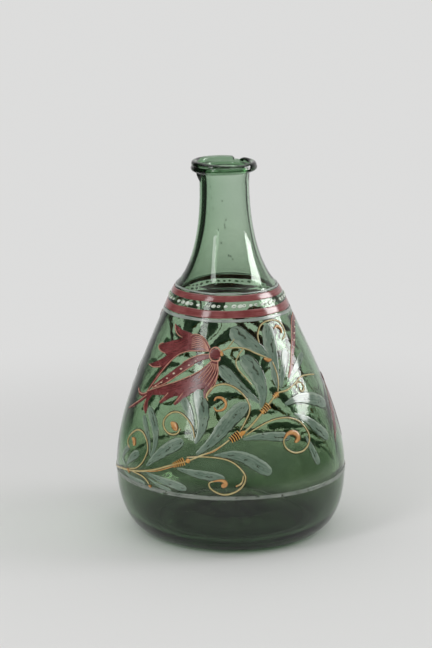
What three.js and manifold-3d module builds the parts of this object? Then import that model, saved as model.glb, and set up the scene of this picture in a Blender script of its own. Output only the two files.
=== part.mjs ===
// A blown green glass bottle: a bell-shaped body that draws in to a slender neck, a thread of glass
// wound round the mouth, and raised enamel on the wall: two red bands, three pale lines and, on each
// side, a scrolling spray of leaves, tendrils and a red blossom.
// Millimetres and degrees, +Z up, origin at the middle of the foot on the surface that it stands on.
// An azimuth is 0 at the front (-Y) and grows towards the right (+X).
import * as THREE from "three";
import { mergeVertices } from "three/addons/utils/BufferGeometryUtils.js";
import Module from "manifold-3d";

const wasm = await Module();
wasm.setup();

// Outer meridian of the glass, from the foot up to the mouth; each rise is measured from the place below
const restInnerRadius = 41.5;
const restRadius = 45.5;
const heelReach = 12.5;
const heelRise = 23.4;
const bellyRadius = 66.5;
const bellyHeight = 37.2;
const bellyEase = 20.2;
const wallRadius = 51.5;
const wallRise = 58.6;
const wallLean = 22.1;
const wallEase = 16.6;
const shoulderRadius = 33.2;
const shoulderRise = 41.8;
const shoulderLean = 24.6;
const shoulderEase = 10.6;
const seatRadius = 26.3;
const seatRise = 10.5;
const seatLean = 46.6;
const seatEase = 3.6;
const flareLean = 36;
const flareEase = 14.2;
const throatRadius = 14.1;
const throatRise = 53.6;
const throatEase = 21.8;
const mouthRadius = 14.6;
const mouthRise = 11.7;

// Glass thickness, pushed-up base and pontil scar
const bodyWall = 2.9;
const neckWall = 2.5;
const baseWall = 6.5;
const kickHeight = 13;
const kickCrown = 15;
const scarRadius = 9;
const scarDepth = 0.8;
const floorRadius = 47;
const floorHeight = 7;
const heelInsideReach = 11;
const heelInsideDrop = 18;

// Thread of glass wound round the mouth, with a thin bead under it, a second lap and a drawn-out tail;
// each drop is measured down from the mouth
const threadGap = 0.3;
const threadDrop = 3.5;
const threadWidth = 4;
const threadHeight = 4.6;
const beadDrop = 4.5;
const beadWidth = 1.9;
const beadHeight = 1.6;
const lapDrop = 0.8;
const lapWidth = 3.7;
const lapHeight = 3.4;
const lapStart = 160;
const lapEnd = 395;
const tailAzimuth = -74;
const tailDrop = 9.8;
const tailWidth = 6.5;
const tailThickness = 2;

// Enamel bands and lines round the wall: the foot line's lower edge lies below the belly, and the
// others' lower edges lie below the seat of the neck
const enamelGap = 0.15;
const bandThickness = 0.35;
const footLineDrop = 1.1;
const footLineWidth = 2.3;
const underLineDrop = 17.9;
const underLineWidth = 1.7;
const lowerBandDrop = 15.8;
const lowerBandWidth = 4.1;
const upperBandDrop = 7.4;
const upperBandWidth = 3.3;
const neckLineDrop = 3.7;
const neckLineWidth = 0.8;

// Enamel of the sprays: leaves and petals lie on the glass, lines and knots run over them; the widths
// written with the strokes count in brush widths
const brushWidth = 1;
const paintThickness = 0.25;
const overlapStep = 0.02;
const lineGap = 0.18;
const lineThickness = 0.3;
const dropWidth = 1.7;
const broadStroke = 1.8;
const fieldMargin = 1.2;
const barLength = 2.6;
const barWidth = 0.8;
const barSpacing = 1.5;
const bossRadius = 3.2;
const bossHeight = 0.8;

// The bottle leans a little to the left, as blown ware does: sideways travel for each rise of one
const lean = -0.022;

// Fineness of the facets: turns of a revolve, and the length of one step along a brush stroke
const roundSteps = 36;
const paintStride = 5.4;
const stemStride = 5.4;
const curlStride = 3.8;

// How widths swell along a stroke, as shares of its widest place: a leaf, a curl that ends in a drop,
// a knot's bar, the boss of a blossom, and the height of that boss
const leafSwell = [0.14, 0.5, 0.85, 1, 0.95, 0.62, 0.08];
const curlSwell = [0.53, 0.53, 0.53, 0.53, 0.53, 0.53, 0.74, 1];
const barSwell = [0.6, 1, 0.6];
const bossSwell = [0.03, 0.66, 0.87, 0.97, 1, 0.97, 0.87, 0.66, 0.03];
const bossCrown = [0.2, 0.8, 1, 0.8, 0.2];

function glassMaterial(color, opacity) {
  return new THREE.MeshStandardMaterial({ color, roughness: 0.05, metalness: 0, transparent: true, opacity });
}

function enamelMaterial(color) {
  return new THREE.MeshStandardMaterial({ color, roughness: 0.45, metalness: 0 });
}

const finish = {
  glass: glassMaterial(0x6f9a74, 0.45),
  thread: glassMaterial(0x55805c, 0.6),
  red: enamelMaterial(0x7c3a3e),
  grey: enamelMaterial(0x8d9a93),
  leaf: enamelMaterial(0x748a7b),
  line: enamelMaterial(0xc39b5c),
};

const { lerp, clamp, degToRad } = THREE.MathUtils;

// Places up the bottle that the sizes above add up to
const wallHeight = bellyHeight + wallRise;
const shoulderHeight = wallHeight + shoulderRise;
const seatHeight = shoulderHeight + seatRise;
const throatHeight = seatHeight + throatRise;
const mouthHeight = throatHeight + mouthRise;
const threadLow = mouthHeight - threadDrop;
const beadLow = mouthHeight - beadDrop;
const lapLow = mouthHeight - lapDrop;
const tailLow = mouthHeight - tailDrop;
const footLineLow = bellyHeight - footLineDrop;
const underLineLow = seatHeight - underLineDrop;
const lowerBandLow = seatHeight - lowerBandDrop;
const upperBandLow = seatHeight - upperBandDrop;
const neckLineLow = seatHeight - neckLineDrop;

// Joining closed shells to one solid

function solidOf(geometry) {
  const bare = new THREE.BufferGeometry();
  bare.setAttribute("position", geometry.getAttribute("position"));
  bare.setIndex(geometry.index);
  const merged = mergeVertices(bare, 1e-4);
  const mesh = new wasm.Mesh({
    numProp: 3,
    vertProperties: new Float32Array(merged.attributes.position.array),
    triVerts: new Uint32Array(merged.index.array),
  });
  return new wasm.Manifold(mesh);
}

function joined(geometries) {
  const mesh = geometries.map(solidOf).reduce((sum, next) => sum.add(next)).getMesh();
  const geometry = new THREE.BufferGeometry();
  geometry.setAttribute("position", new THREE.BufferAttribute(mesh.vertProperties, 3));
  geometry.setIndex(new THREE.BufferAttribute(mesh.triVerts, 1));
  return geometry;
}

// Revolve of a half section whose points are (radius, height)
function turned(points) {
  return new THREE.LatheGeometry(points, roundSteps).rotateX(Math.PI / 2);
}

// Skin over a row of sections with as many points each; a ring of sections closes on itself
function skinned(sections, ring = false) {
  const count = sections[0].length;
  const last = (sections.length - 1) * count;
  const indices = [];
  for (let s = 0; s < (ring ? sections.length : sections.length - 1); s++) {
    const here = s * count;
    const next = ((s + 1) % sections.length) * count;
    for (let k = 0; k < count; k++) {
      const m = (k + 1) % count;
      indices.push(here + k, here + m, next + m, here + k, next + m, next + k);
    }
  }
  const crown = count - 1;
  for (let k = 0; k < crown - 1 && !ring; k++) {
    indices.push(crown, k + 1, k, last + crown, last + k, last + k + 1);
  }
  const geometry = new THREE.BufferGeometry().setFromPoints(sections.flat());
  geometry.setIndex(indices);
  return geometry;
}

// Outer meridian as smooth curves between the named places

const spot = (radius, height) => new THREE.Vector2(radius, height);
const upward = (angle, length) => spot(0, length).rotateAround(spot(0, 0), degToRad(angle));

function smooth(from, leave, arrive, to, steps) {
  const curve = new THREE.CubicBezierCurve(from, from.clone().add(leave), to.clone().sub(arrive), to);
  return curve.getPoints(steps).slice(1);
}

const rest = spot(restRadius, 0);
const belly = spot(bellyRadius, bellyHeight);
const wall = spot(wallRadius, wallHeight);
const shoulder = spot(shoulderRadius, shoulderHeight);
const seat = spot(seatRadius, seatHeight);
const throat = spot(throatRadius, throatHeight);
const lipCentre = spot(mouthRadius - neckWall / 2, mouthHeight - neckWall / 2);
const outerLine = [
  rest,
  ...smooth(rest, spot(heelReach, 0), spot(0, heelRise), belly, 5),
  ...smooth(belly, spot(0, bellyEase), upward(wallLean, wallEase), wall, 5),
  ...smooth(wall, upward(wallLean, shoulderEase), upward(shoulderLean, shoulderEase), shoulder, 2),
  ...smooth(shoulder, upward(shoulderLean, seatEase), upward(seatLean, seatEase), seat, 3),
  ...smooth(seat, upward(flareLean, flareEase), spot(0, throatEase), throat, 5),
  spot(mouthRadius, lipCentre.y),
];

// The outer wall at a height: its radius, its slope and the unit normal in the meridian plane
function meridianAt(height) {
  let k = 1;
  while (k < outerLine.length - 1 && outerLine[k].y < height) k++;
  const low = outerLine[k - 1];
  const high = outerLine[k];
  const slope = high.clone().sub(low).normalize();
  const radius = lerp(low.x, high.x, (height - low.y) / (high.y - low.y));
  return { radius, slope, normal: spot(slope.y, -slope.x) };
}

function offWall(height, lift) {
  const { radius, normal } = meridianAt(height);
  return spot(radius + lift * normal.x, height + lift * normal.y);
}

function around(azimuth, { x, y }) {
  const turn = degToRad(azimuth);
  return new THREE.Vector3(x * Math.sin(turn), -x * Math.cos(turn), y);
}

// Glass vessel: the wall thins from the body to the neck, and the base is pushed up into it

function innerLine() {
  const line = [];
  for (let k = outerLine.length - 1; outerLine[k].y >= bellyHeight; k--) {
    const below = outerLine[k - 1];
    const above = outerLine[Math.min(k + 1, outerLine.length - 1)];
    const slope = above.clone().sub(below).normalize();
    const up = clamp((outerLine[k].y - bellyHeight) / (seatHeight - bellyHeight), 0, 1);
    const thickness = lerp(bodyWall, neckWall, up);
    line.push(spot(outerLine[k].x - slope.y * thickness, outerLine[k].y + slope.x * thickness));
  }
  const floor = spot(floorRadius, floorHeight);
  const crown = spot(0, kickHeight + baseWall);
  line.push(...smooth(line.at(-1), spot(0, -heelInsideDrop), spot(-heelInsideReach, 0), floor, 4));
  line.push(...smooth(floor, spot(-kickCrown, 0), spot(-kickCrown, 0), crown, 4));
  return line;
}

function glassVessel() {
  const scarEdge = spot(scarRadius + scarDepth, kickHeight);
  const scar = [spot(0, kickHeight - scarDepth), spot(scarRadius, kickHeight - scarDepth), scarEdge];
  const ringEdge = spot(restInnerRadius, 0);
  const kick = smooth(scarEdge, spot(kickCrown, 0), spot(kickCrown / 3, -kickHeight / 2), ringEdge, 4);
  const rim = [1, 2, 3].map((k) => upward((k * 180) / 4 - 90, neckWall / 2).add(lipCentre));
  return turned([...scar, ...kick, ...outerLine, ...rim, ...innerLine()]);
}

// Enamel band: a thin ring on the wall between two heights, thinner at its edges

function band(low, width) {
  const edge = enamelGap + bandThickness * 0.4;
  const top = enamelGap + bandThickness;
  const skin = [[0, edge], [0.25, top], [0.75, top], [1, edge]];
  const section = [...skin, [1, enamelGap], [0, enamelGap], skin[0]];
  return turned(section.map(([share, lift]) => offWall(low + width * share, lift)));
}

// Thin painted line: the same, with a single crown
function thinBand(low, width) {
  const section = [[0, enamelGap], [0.5, enamelGap + bandThickness], [1, enamelGap], [0, enamelGap]];
  return turned(section.map(([share, lift]) => offWall(low + width * share, lift)));
}

// Thread round the mouth: outlines are (reach from the glass, level), from the top down

function threadSection(azimuth, outline) {
  return outline.map(([reach, level]) => {
    const glass = Math.max(mouthRadius, meridianAt(Math.min(level, lipCentre.y)).radius);
    return around(azimuth, spot(glass + threadGap + reach, level));
  });
}

function threadTurn() {
  const roll = [[0, 0.9], [0.4, 1], [0.8, 0.86], [1, 0.5], [0.8, 0.14]];
  const notch = [beadWidth * 0.6, threadLow];
  const bead = [[1, 0.6], [0.85, 0.2], [0, 0]].map(([x, y]) => [x * beadWidth, beadLow + y * beadHeight]);
  const turn = roll.map(([x, y]) => [x * threadWidth, threadLow + y * threadHeight]);
  const outline = [...turn, notch, ...bead];
  const sections = [];
  for (let k = 0; k < roundSteps; k++) sections.push(threadSection((360 * k) / roundSteps, outline));
  return skinned(sections, true);
}

// Second lap: it starts blunt at the back, lies on the first turn over the left and fades at the front
function threadLap() {
  const steps = 20;
  const sections = [];
  for (let k = 0; k <= steps; k++) {
    const share = k / steps;
    const size = Math.min(1, 0.45 + share * 8, 0.15 + (1 - share) * 2.4);
    const outline = [[0, 0.8], [0.35, 1], [0.75, 0.88], [1, 0.5], [0.85, 0.1], [0, 0]];
    const shape = outline.map(([x, y]) => [x * lapWidth * size, lapLow + y * lapHeight * size]);
    sections.push(threadSection(lerp(lapStart, lapEnd, share), shape));
  }
  return skinned(sections);
}

function threadTail() {
  return brushStroke({
    path: [[tailAzimuth, beadLow + beadHeight / 2], [tailAzimuth, tailLow]],
    widths: [tailWidth, tailWidth * 0.75, 1],
    stride: 1.5,
    lift: threadGap,
    thickness: [tailThickness, tailThickness, 0.4],
  });
}

function lipTrail() {
  return joined([threadTurn(), threadLap(), threadTail()]);
}

// Brush stroke: a section with a raised crown, drawn along a path of (azimuth, height) on the wall

function between(list, share) {
  const place = share * (list.length - 1);
  const k = Math.min(Math.floor(place), list.length - 2);
  return lerp(list[k], list[k + 1], place - k);
}

function brushStroke({ path, widths, stride, lift, thickness }) {
  const curve = new THREE.SplineCurve(path.map(([azimuth, height]) => spot(azimuth, height)));
  const onGlass = path.map(([azimuth, height]) => around(azimuth, offWall(height, lift)));
  const reach = onGlass.slice(1).reduce((sum, point, k) => sum + point.distanceTo(onGlass[k]), 0);
  const steps = Math.max(2, Math.round(reach / stride));
  const broad = Math.max(...widths) > broadStroke;
  const sections = [];
  for (let s = 0; s <= steps; s++) {
    const here = curve.getPoint(s / steps);
    const step = curve.getTangent(s / steps);
    const { radius, slope } = meridianAt(here.y);
    const perDegree = degToRad(radius);
    const across = spot(-step.y / slope.y, step.x * perDegree).normalize();
    const half = between(widths, s / steps) / 2;
    const edge = (way) =>
      around(
        here.x + (way * half * across.x) / perDegree,
        offWall(here.y + way * half * across.y * slope.y, lift),
      );
    const crown = around(here.x, offWall(here.y, lift + between(thickness, s / steps)));
    const underside = broad ? [around(here.x, offWall(here.y, lift))] : [];
    sections.push([edge(-1), ...underside, edge(1), crown]);
  }
  return skinned(sections);
}

// Spray of enamel, drawn as (azimuth, rows above the foot line); the rows are fitted to the field
// between the foot line and the line under the bands

const leafFans = {
  leaves_knot: [
    { path: [[-61, 5], [-58, 9], [-51, 15.5]], width: 4.6 },
    { path: [[-61, 5], [-70, 8.5], [-63, 17]], width: 4 },
    { path: [[-61, 5], [-57, 2], [-49, 1.8]], width: 2.4 },
  ],
  leaves_low: [
    { path: [[-46, 8], [-42, 17], [-44, 27], [-50, 36.5]], width: 6 },
    { path: [[-46, 8], [-38, 15], [-32, 22], [-25.5, 27]], width: 5.6 },
    { path: [[-46, 8], [-38, 5.8], [-30, 4.4], [-22, 2.4]], width: 4.4 },
  ],
  leaves_middle: [
    { path: [[-21, 18.6], [-18, 30], [-16, 41], [-19.5, 50]], width: 7.6 },
    { path: [[-21, 18.6], [-20.5, 30], [-24.5, 39], [-29, 45]], width: 4.4 },
    { path: [[-21, 18.6], [-17, 14.5], [-10, 11.5], [-4, 10]], width: 4.6 },
    { path: [[-21, 18.6], [-6, 23], [8, 20.5], [20, 12]], width: 6 },
    { path: [[-21, 18.6], [-8, 30], [2, 39], [9.5, 48]], width: 7 },
  ],
  leaf_side: [{ path: [[5, 32.6], [13, 32], [22, 33], [31, 30]], width: 4.6 }],
  leaves_upper: [
    { path: [[18.6, 45.6], [25, 56], [20, 66], [10, 73]], width: 8.6 },
    { path: [[18.6, 45.6], [11, 56], [4, 63], [-3.5, 68]], width: 5.6 },
  ],
  leaves_crown: [
    { path: [[32, 54.4], [33, 67], [35, 78], [37, 88]], width: 7.6 },
    { path: [[32, 54.4], [38.5, 64], [42, 70], [45.5, 75]], width: 4 },
    { path: [[32, 54.4], [42, 58], [52, 62.5], [64, 69]], width: 3.4 },
    { path: [[32, 54.4], [43, 50.5], [57, 47.5], [70, 41]], width: 6.6 },
  ],
  leaves_right: [
    { path: [[38, 42.5], [47, 37], [55, 29], [60.5, 23]], width: 5.6 },
    { path: [[38, 42.5], [45.5, 33], [47.5, 23], [48.5, 14]], width: 3.8 },
  ],
  leaf_branch: [{ path: [[27, 75.6], [22, 79], [14, 84], [5, 89]], width: 7 }],
};

const petals = {
  blossom_upper_petal: [
    { path: [[-12.5, 78.2], [-22, 81.4], [-34, 81], [-42, 83.5], [-49, 87]], widths: [1.6, 5, 6, 4, 0.5] },
    { path: [[-12.5, 77.8], [-26, 80], [-42, 79], [-59.5, 74.8]], widths: [1.6, 7, 9, 6, 0.5] },
    { path: [[-20, 78.6], [-32, 77], [-44, 72.4], [-54, 67], [-63.5, 64]], widths: [1.4, 4, 6.6, 5, 0.5] },
    { path: [[-33, 76], [-42, 71.5], [-48, 65], [-53, 58.5]], widths: [1.4, 3.4, 2.4, 0.8] },
  ],
  blossom_middle_petal: [
    { path: [[-13, 74.4], [-24, 71], [-34, 65.2], [-44, 59.2], [-52, 55]], widths: [1.6, 3.8, 4, 3.6, 0.8] },
  ],
  blossom_lower_petal: [
    {
      path: [[-10, 71.4], [-12, 66], [-18, 60.5], [-28, 57], [-38, 53.6], [-47, 51.6], [-57, 49.4]],
      widths: [2, 6, 12, 10, 7, 5, 2],
    },
    { path: [[-9, 71.4], [-8.5, 64], [-11.5, 57]], widths: [1.5, 4, 2] },
    { path: [[-27, 55.5], [-29.5, 52], [-32.5, 47.6]], widths: [5, 4, 0.6] },
    { path: [[-37, 53.5], [-40, 50], [-43.5, 46]], widths: [5, 3.4, 0.6] },
    { path: [[-55, 50], [-62, 47.8], [-69, 49]], widths: [2.4, 2.2, 0.6] },
    { path: [[-55, 50], [-65, 43.4], [-75, 37]], widths: [2.4, 2, 0.5] },
    { path: [[-55, 50], [-54.6, 44], [-56, 40]], widths: [2.4, 2.6, 0.6] },
  ],
  bud: [{ path: [[43, 62.5], [51, 71], [61, 80], [72, 86.6], [84, 87.6]], widths: [0.6, 3.4, 4, 4, 0.8] }],
};

const hangingPetals = {
  hanging_blossom_near_petal: [
    { path: [[90, 47.6], [84, 41], [77, 29], [69.5, 17.5]], widths: [1.6, 6, 6, 0.6] },
  ],
  hanging_blossom_middle_petal: [
    { path: [[93, 46.6], [92, 36], [91, 25], [92, 14]], widths: [1.6, 4, 4, 0.6] },
  ],
  hanging_blossom_far_petal: [
    { path: [[95.5, 47.6], [99, 41], [100, 31], [98.5, 18]], widths: [1.6, 6, 5.6, 0.6] },
  ],
};

const stemLines = [
  {
    path: [
      [-87, 1.6], [-60, 4.8], [-35, 12.6], [-15, 22], [4, 32],
      [20, 46], [31, 54.4], [45, 56.6], [57, 59.2], [70, 57.4],
    ],
    widths: [2, 1.7, 1.5, 1.4, 1.3, 1],
  },
  { path: [[-4, 77.2], [4, 78.6], [14, 78], [25, 74], [32, 71], [34, 62], [31, 54.4]], widths: [1, 1] },
];

// Curls that leave the stem, wind inwards and end in a drop of enamel
const tendrils = [
  [
    [-57, 5.6], [-50, 11], [-46, 18], [-49, 25.6], [-55, 29],
    [-62, 27], [-65, 22], [-62.5, 18.5], [-58.5, 20.5],
  ],
  [
    [-16, 21.6], [-19, 32.6], [-22, 39.6], [-28, 43.6], [-34, 42.5],
    [-37, 38], [-34.5, 33], [-31, 33.6], [-31, 37],
  ],
  [
    [6, 33], [11.5, 42], [13, 49], [10, 54.6], [4, 59.1], [-4, 60],
    [-11, 57.5], [-12, 53.6], [-6, 53.2], [-2, 50], [-5, 46.6],
  ],
  [
    [-18, 20.4], [-10, 21.6], [0, 19.1], [6, 13.6], [6, 6.5], [2, 3],
    [-3, 1.7], [-9, 3.6], [-10.5, 7], [-6.6, 9.4], [-4.6, 6.8],
  ],
  [
    [6, 33], [20, 38.6], [30, 40.6], [38, 39.1], [44, 33.6], [46, 27.6],
    [43, 22.6], [37, 21], [30.5, 24], [31, 31], [37, 31.4], [36.5, 26.6],
  ],
  [[25, 74], [24.6, 82], [29, 88], [36, 90], [45, 89.5], [52, 86], [52.5, 81], [46, 80], [45, 83]],
  [[-52, 6.4], [-47, 4.6], [-42.5, 1.8]],
];

// Knots of the stem: azimuth, row and the slant at which the stem runs there
const knots = [
  [-60, 4.8, 10], [-25, 17, 24], [3.4, 31.7, 34],
  [20.6, 46.4, 38], [30.4, 54.2, 30], [31, 71.4, -30],
];

const bossPlace = [-9, 75.6];
const hangingBossPlace = [93, 49.4];
const hangingStem = { path: [[69, 57.6], [80, 56.4], [88.6, 52]], widths: [1, 1] };
const endLeaves = [
  { path: [[69, 57.5], [79, 58], [90, 54]], width: 5 },
  { path: [[69, 57.5], [77, 51], [83, 42]], width: 5 },
];

const drawn = [...Object.values({ ...leafFans, ...petals }).flat(), ...stemLines];
const drawnRows = [...drawn.map(({ path }) => path), ...tendrils].flat().map(([, row]) => row);
const drawnTop = Math.max(...drawnRows);
const fieldLow = footLineLow + footLineWidth + fieldMargin;
const fieldHigh = underLineLow - fieldMargin;
const heightOfRow = (row) => lerp(fieldLow, fieldHigh, row / drawnTop);
const lineLift = enamelGap + paintThickness + lineGap;

// Leaf and petal widths follow the size of the field, as their lengths do
function paint(strokes, turn) {
  return joined(
    strokes.map(({ path, width, widths }, k) =>
      brushStroke({
        path: path.map(([azimuth, row]) => [azimuth + turn, heightOfRow(row)]),
        widths: (widths ?? leafSwell.map((share) => share * width)).map((size) => size * brushWidth),
        stride: paintStride,
        lift: enamelGap + k * overlapStep,
        thickness: [paintThickness, paintThickness],
      }),
    ),
  );
}

function lineStroke(path, widths, stride, turn, level = 0) {
  return brushStroke({
    path: path.map(([azimuth, row]) => [azimuth + turn, heightOfRow(row)]),
    widths: widths.map((size) => size * brushWidth),
    stride,
    lift: lineLift + level * overlapStep,
    thickness: [lineThickness, lineThickness],
  });
}

// Knot: short bars of enamel across the stem, which runs at the given slant
function knotBars([azimuth, row, slant], turn) {
  const height = heightOfRow(row);
  const perDegree = degToRad(meridianAt(height).radius);
  const run = spot(Math.cos(degToRad(slant)), Math.sin(degToRad(slant)));
  return [-1, 0, 1].map((place) => {
    const middle = run.clone().multiplyScalar(place * barSpacing);
    const end = (way) => [
      azimuth + turn + (middle.x - (way * run.y * barLength) / 2) / perDegree,
      height + middle.y + (way * run.x * barLength) / 2,
    ];
    return brushStroke({
      path: [end(-1), end(1)],
      widths: barSwell.map((share) => share * barWidth),
      stride: barLength,
      lift: lineLift + overlapStep * 5,
      thickness: [lineThickness, lineThickness * 1.5, lineThickness],
    });
  });
}

function boss([azimuth, row], turn) {
  const height = heightOfRow(row);
  return brushStroke({
    path: [[azimuth + turn, height - bossRadius], [azimuth + turn, height + bossRadius]],
    widths: bossSwell.map((share) => share * 2 * bossRadius),
    stride: bossRadius / 4,
    lift: lineLift,
    thickness: bossCrown.map((share) => share * bossHeight),
  });
}

// Assembly

const bottle = new THREE.Group();
const leaning = new THREE.Matrix4().makeShear(0, 0, 0, 0, lean, 0).setPosition(-lean * bellyHeight, 0, 0);

function place(name, geometry, material) {
  const mesh = new THREE.Mesh(geometry.applyMatrix4(leaning), material);
  mesh.name = name;
  bottle.add(mesh);
}

function placeAll(prefix, shapes, turn, material) {
  for (const [name, strokes] of Object.entries(shapes)) place(prefix + name, paint(strokes, turn), material);
}

function placeSpray(side, turn, extraLines) {
  placeAll(`${side}_`, leafFans, turn, finish.leaf);
  placeAll(`${side}_`, petals, turn, finish.red);
  const curl = curlSwell.map((share) => (share * dropWidth) / brushWidth);
  const lines = [
    ...[...stemLines, ...extraLines].map(({ path, widths }) => lineStroke(path, widths, stemStride, turn)),
    ...tendrils.map((path, k) => lineStroke(path, curl, curlStride, turn, 1 + (k % 3))),
    ...knots.flatMap((knot) => knotBars(knot, turn)),
  ];
  place(`${side}_stem`, joined(lines), finish.line);
  place(`${side}_blossom_boss`, boss(bossPlace, turn), finish.red);
}

place("glass_vessel", glassVessel(), finish.glass);
place("lip_trail", lipTrail(), finish.thread);
place("foot_line", thinBand(footLineLow, footLineWidth), finish.grey);
place("under_line", thinBand(underLineLow, underLineWidth), finish.grey);
place("lower_red_band", band(lowerBandLow, lowerBandWidth), finish.red);
place("upper_red_band", band(upperBandLow, upperBandWidth), finish.red);
place("neck_line", thinBand(neckLineLow, neckLineWidth), finish.grey);
placeSpray("front", 0, [hangingStem]);
placeAll("", hangingPetals, 0, finish.red);
place("hanging_blossom_boss", boss(hangingBossPlace, 0), finish.red);
placeSpray("back", 180, []);
place("back_leaves_end", paint(endLeaves, 180), finish.leaf);

export default bottle;
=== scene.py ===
import math

import bpy
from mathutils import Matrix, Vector, noise
from mathutils.geometry import interpolate_bezier


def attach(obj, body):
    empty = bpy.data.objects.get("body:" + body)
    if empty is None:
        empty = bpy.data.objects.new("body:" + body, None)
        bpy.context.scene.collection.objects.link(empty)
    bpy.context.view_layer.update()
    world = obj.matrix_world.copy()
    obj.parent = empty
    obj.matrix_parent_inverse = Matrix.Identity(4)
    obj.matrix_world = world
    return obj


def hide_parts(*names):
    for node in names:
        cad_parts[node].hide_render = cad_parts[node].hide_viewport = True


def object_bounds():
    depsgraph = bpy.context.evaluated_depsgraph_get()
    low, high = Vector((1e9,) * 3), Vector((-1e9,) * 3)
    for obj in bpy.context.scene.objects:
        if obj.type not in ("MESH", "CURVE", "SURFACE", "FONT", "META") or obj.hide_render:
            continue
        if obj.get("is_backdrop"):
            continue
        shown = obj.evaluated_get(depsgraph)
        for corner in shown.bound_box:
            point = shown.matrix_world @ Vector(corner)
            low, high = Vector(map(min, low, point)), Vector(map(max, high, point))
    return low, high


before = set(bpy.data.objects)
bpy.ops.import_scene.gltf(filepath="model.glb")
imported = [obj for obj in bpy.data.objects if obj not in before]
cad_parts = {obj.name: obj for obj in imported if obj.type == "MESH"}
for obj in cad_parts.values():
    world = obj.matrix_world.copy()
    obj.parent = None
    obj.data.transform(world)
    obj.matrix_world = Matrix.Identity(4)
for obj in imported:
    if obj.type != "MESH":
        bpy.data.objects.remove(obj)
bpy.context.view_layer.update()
mm = 0.001


# Shader maths: a wrapped socket adds its own Math nodes
class Wire:
    def __init__(self, tree, socket):
        self.tree = tree
        self.socket = socket

    def maths(self, operation, *values):
        return self.tree.node("ShaderNodeMath", {"operation": operation}, dict(enumerate(values)))

    def __add__(self, other):
        return self.maths("ADD", self, other)

    def __radd__(self, other):
        return self.maths("ADD", other, self)

    def __sub__(self, other):
        return self.maths("SUBTRACT", self, other)

    def __rsub__(self, other):
        return self.maths("SUBTRACT", other, self)

    def __mul__(self, other):
        return self.maths("MULTIPLY", self, other)

    def __rmul__(self, other):
        return self.maths("MULTIPLY", other, self)

    def __truediv__(self, other):
        return self.maths("DIVIDE", self, other)

    def __pow__(self, other):
        return self.maths("POWER", self, other)

    def size(self):
        return self.maths("ABSOLUTE", self)

    def above(self, limit):
        return self.maths("GREATER_THAN", self, limit)

    def orMore(self, other):
        return self.maths("MAXIMUM", self, other)

    def ramp(self, low, high):      # smooth 0 to 1 between two values
        return self.tree.node("ShaderNodeMapRange", {"interpolation_type": "SMOOTHSTEP"},
                              {"Value": self, "From Min": low, "From Max": high})


class Tree:
    def __init__(self, nodeTree):
        self.nodes = nodeTree.nodes
        self.links = nodeTree.links
        self.nodes.clear()

    def node(self, kind, settings=None, inputs=None, output=0):
        made = self.nodes.new(kind)
        for name, value in (settings or {}).items():
            if name == "stops":
                self.setStops(made, value)
            else:
                setattr(made, name, value)
        for name, value in (inputs or {}).items():
            socket = made.inputs[name]
            if isinstance(value, Wire):
                self.links.new(value.socket, socket)
            elif socket.type == "RGBA":
                socket.default_value = (*value[:3], 1)
            else:
                socket.default_value = value
        return Wire(self, made.outputs[output]) if len(made.outputs) else made

    def setStops(self, ramp, stops):
        elements = ramp.color_ramp.elements
        while len(elements) < len(stops):
            elements.new(0.5)
        for element, (place, colour) in zip(elements, stops):
            element.position = place
            element.color = (*colour, 1)

    def place(self, name="Object"):
        return self.node("ShaderNodeTexCoord", output=name)

    def split(self, vector, axis):
        return self.node("ShaderNodeSeparateXYZ", inputs={"Vector": vector}, output=axis)

    def join(self, **parts):        # a vector from its X, Y and Z
        return self.node("ShaderNodeCombineXYZ", inputs=parts)

    def stretch(self, vector, upright):
        return self.node("ShaderNodeMapping", inputs={"Vector": vector, "Scale": (1, 1, upright)})

    def noise(self, vector, scale, detail=2.0, rough=0.5):
        return self.node("ShaderNodeTexNoise", inputs={"Vector": vector, "Scale": scale, "Detail": detail,
                                                       "Roughness": rough})

    def bump(self, strength, distance, height):
        return self.node("ShaderNodeBump",
                         inputs={"Strength": strength, "Distance": distance, "Height": height})

    def blend(self, amount, first, second):
        return self.node("ShaderNodeMix", {"data_type": "RGBA"}, {0: amount, 6: first, 7: second}, 2)


def material(name):
    made = bpy.data.materials.new(name)
    made.use_nodes = True
    return made, Tree(made.node_tree)


def srgb(*channels):        # a colour as seen on screen, 0 to 255, in the shader's linear values
    return tuple(((c / 255 + 0.055) / 1.055) ** 2.4 if c > 10 else c / 255 / 12.92 for c in channels)


# Wall of the bottle, in millimetres: knots of the outline with the handles that arrive and leave
def lean(angle, length):
    return (-math.sin(math.radians(angle)) * length, math.cos(math.radians(angle)) * length)


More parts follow.
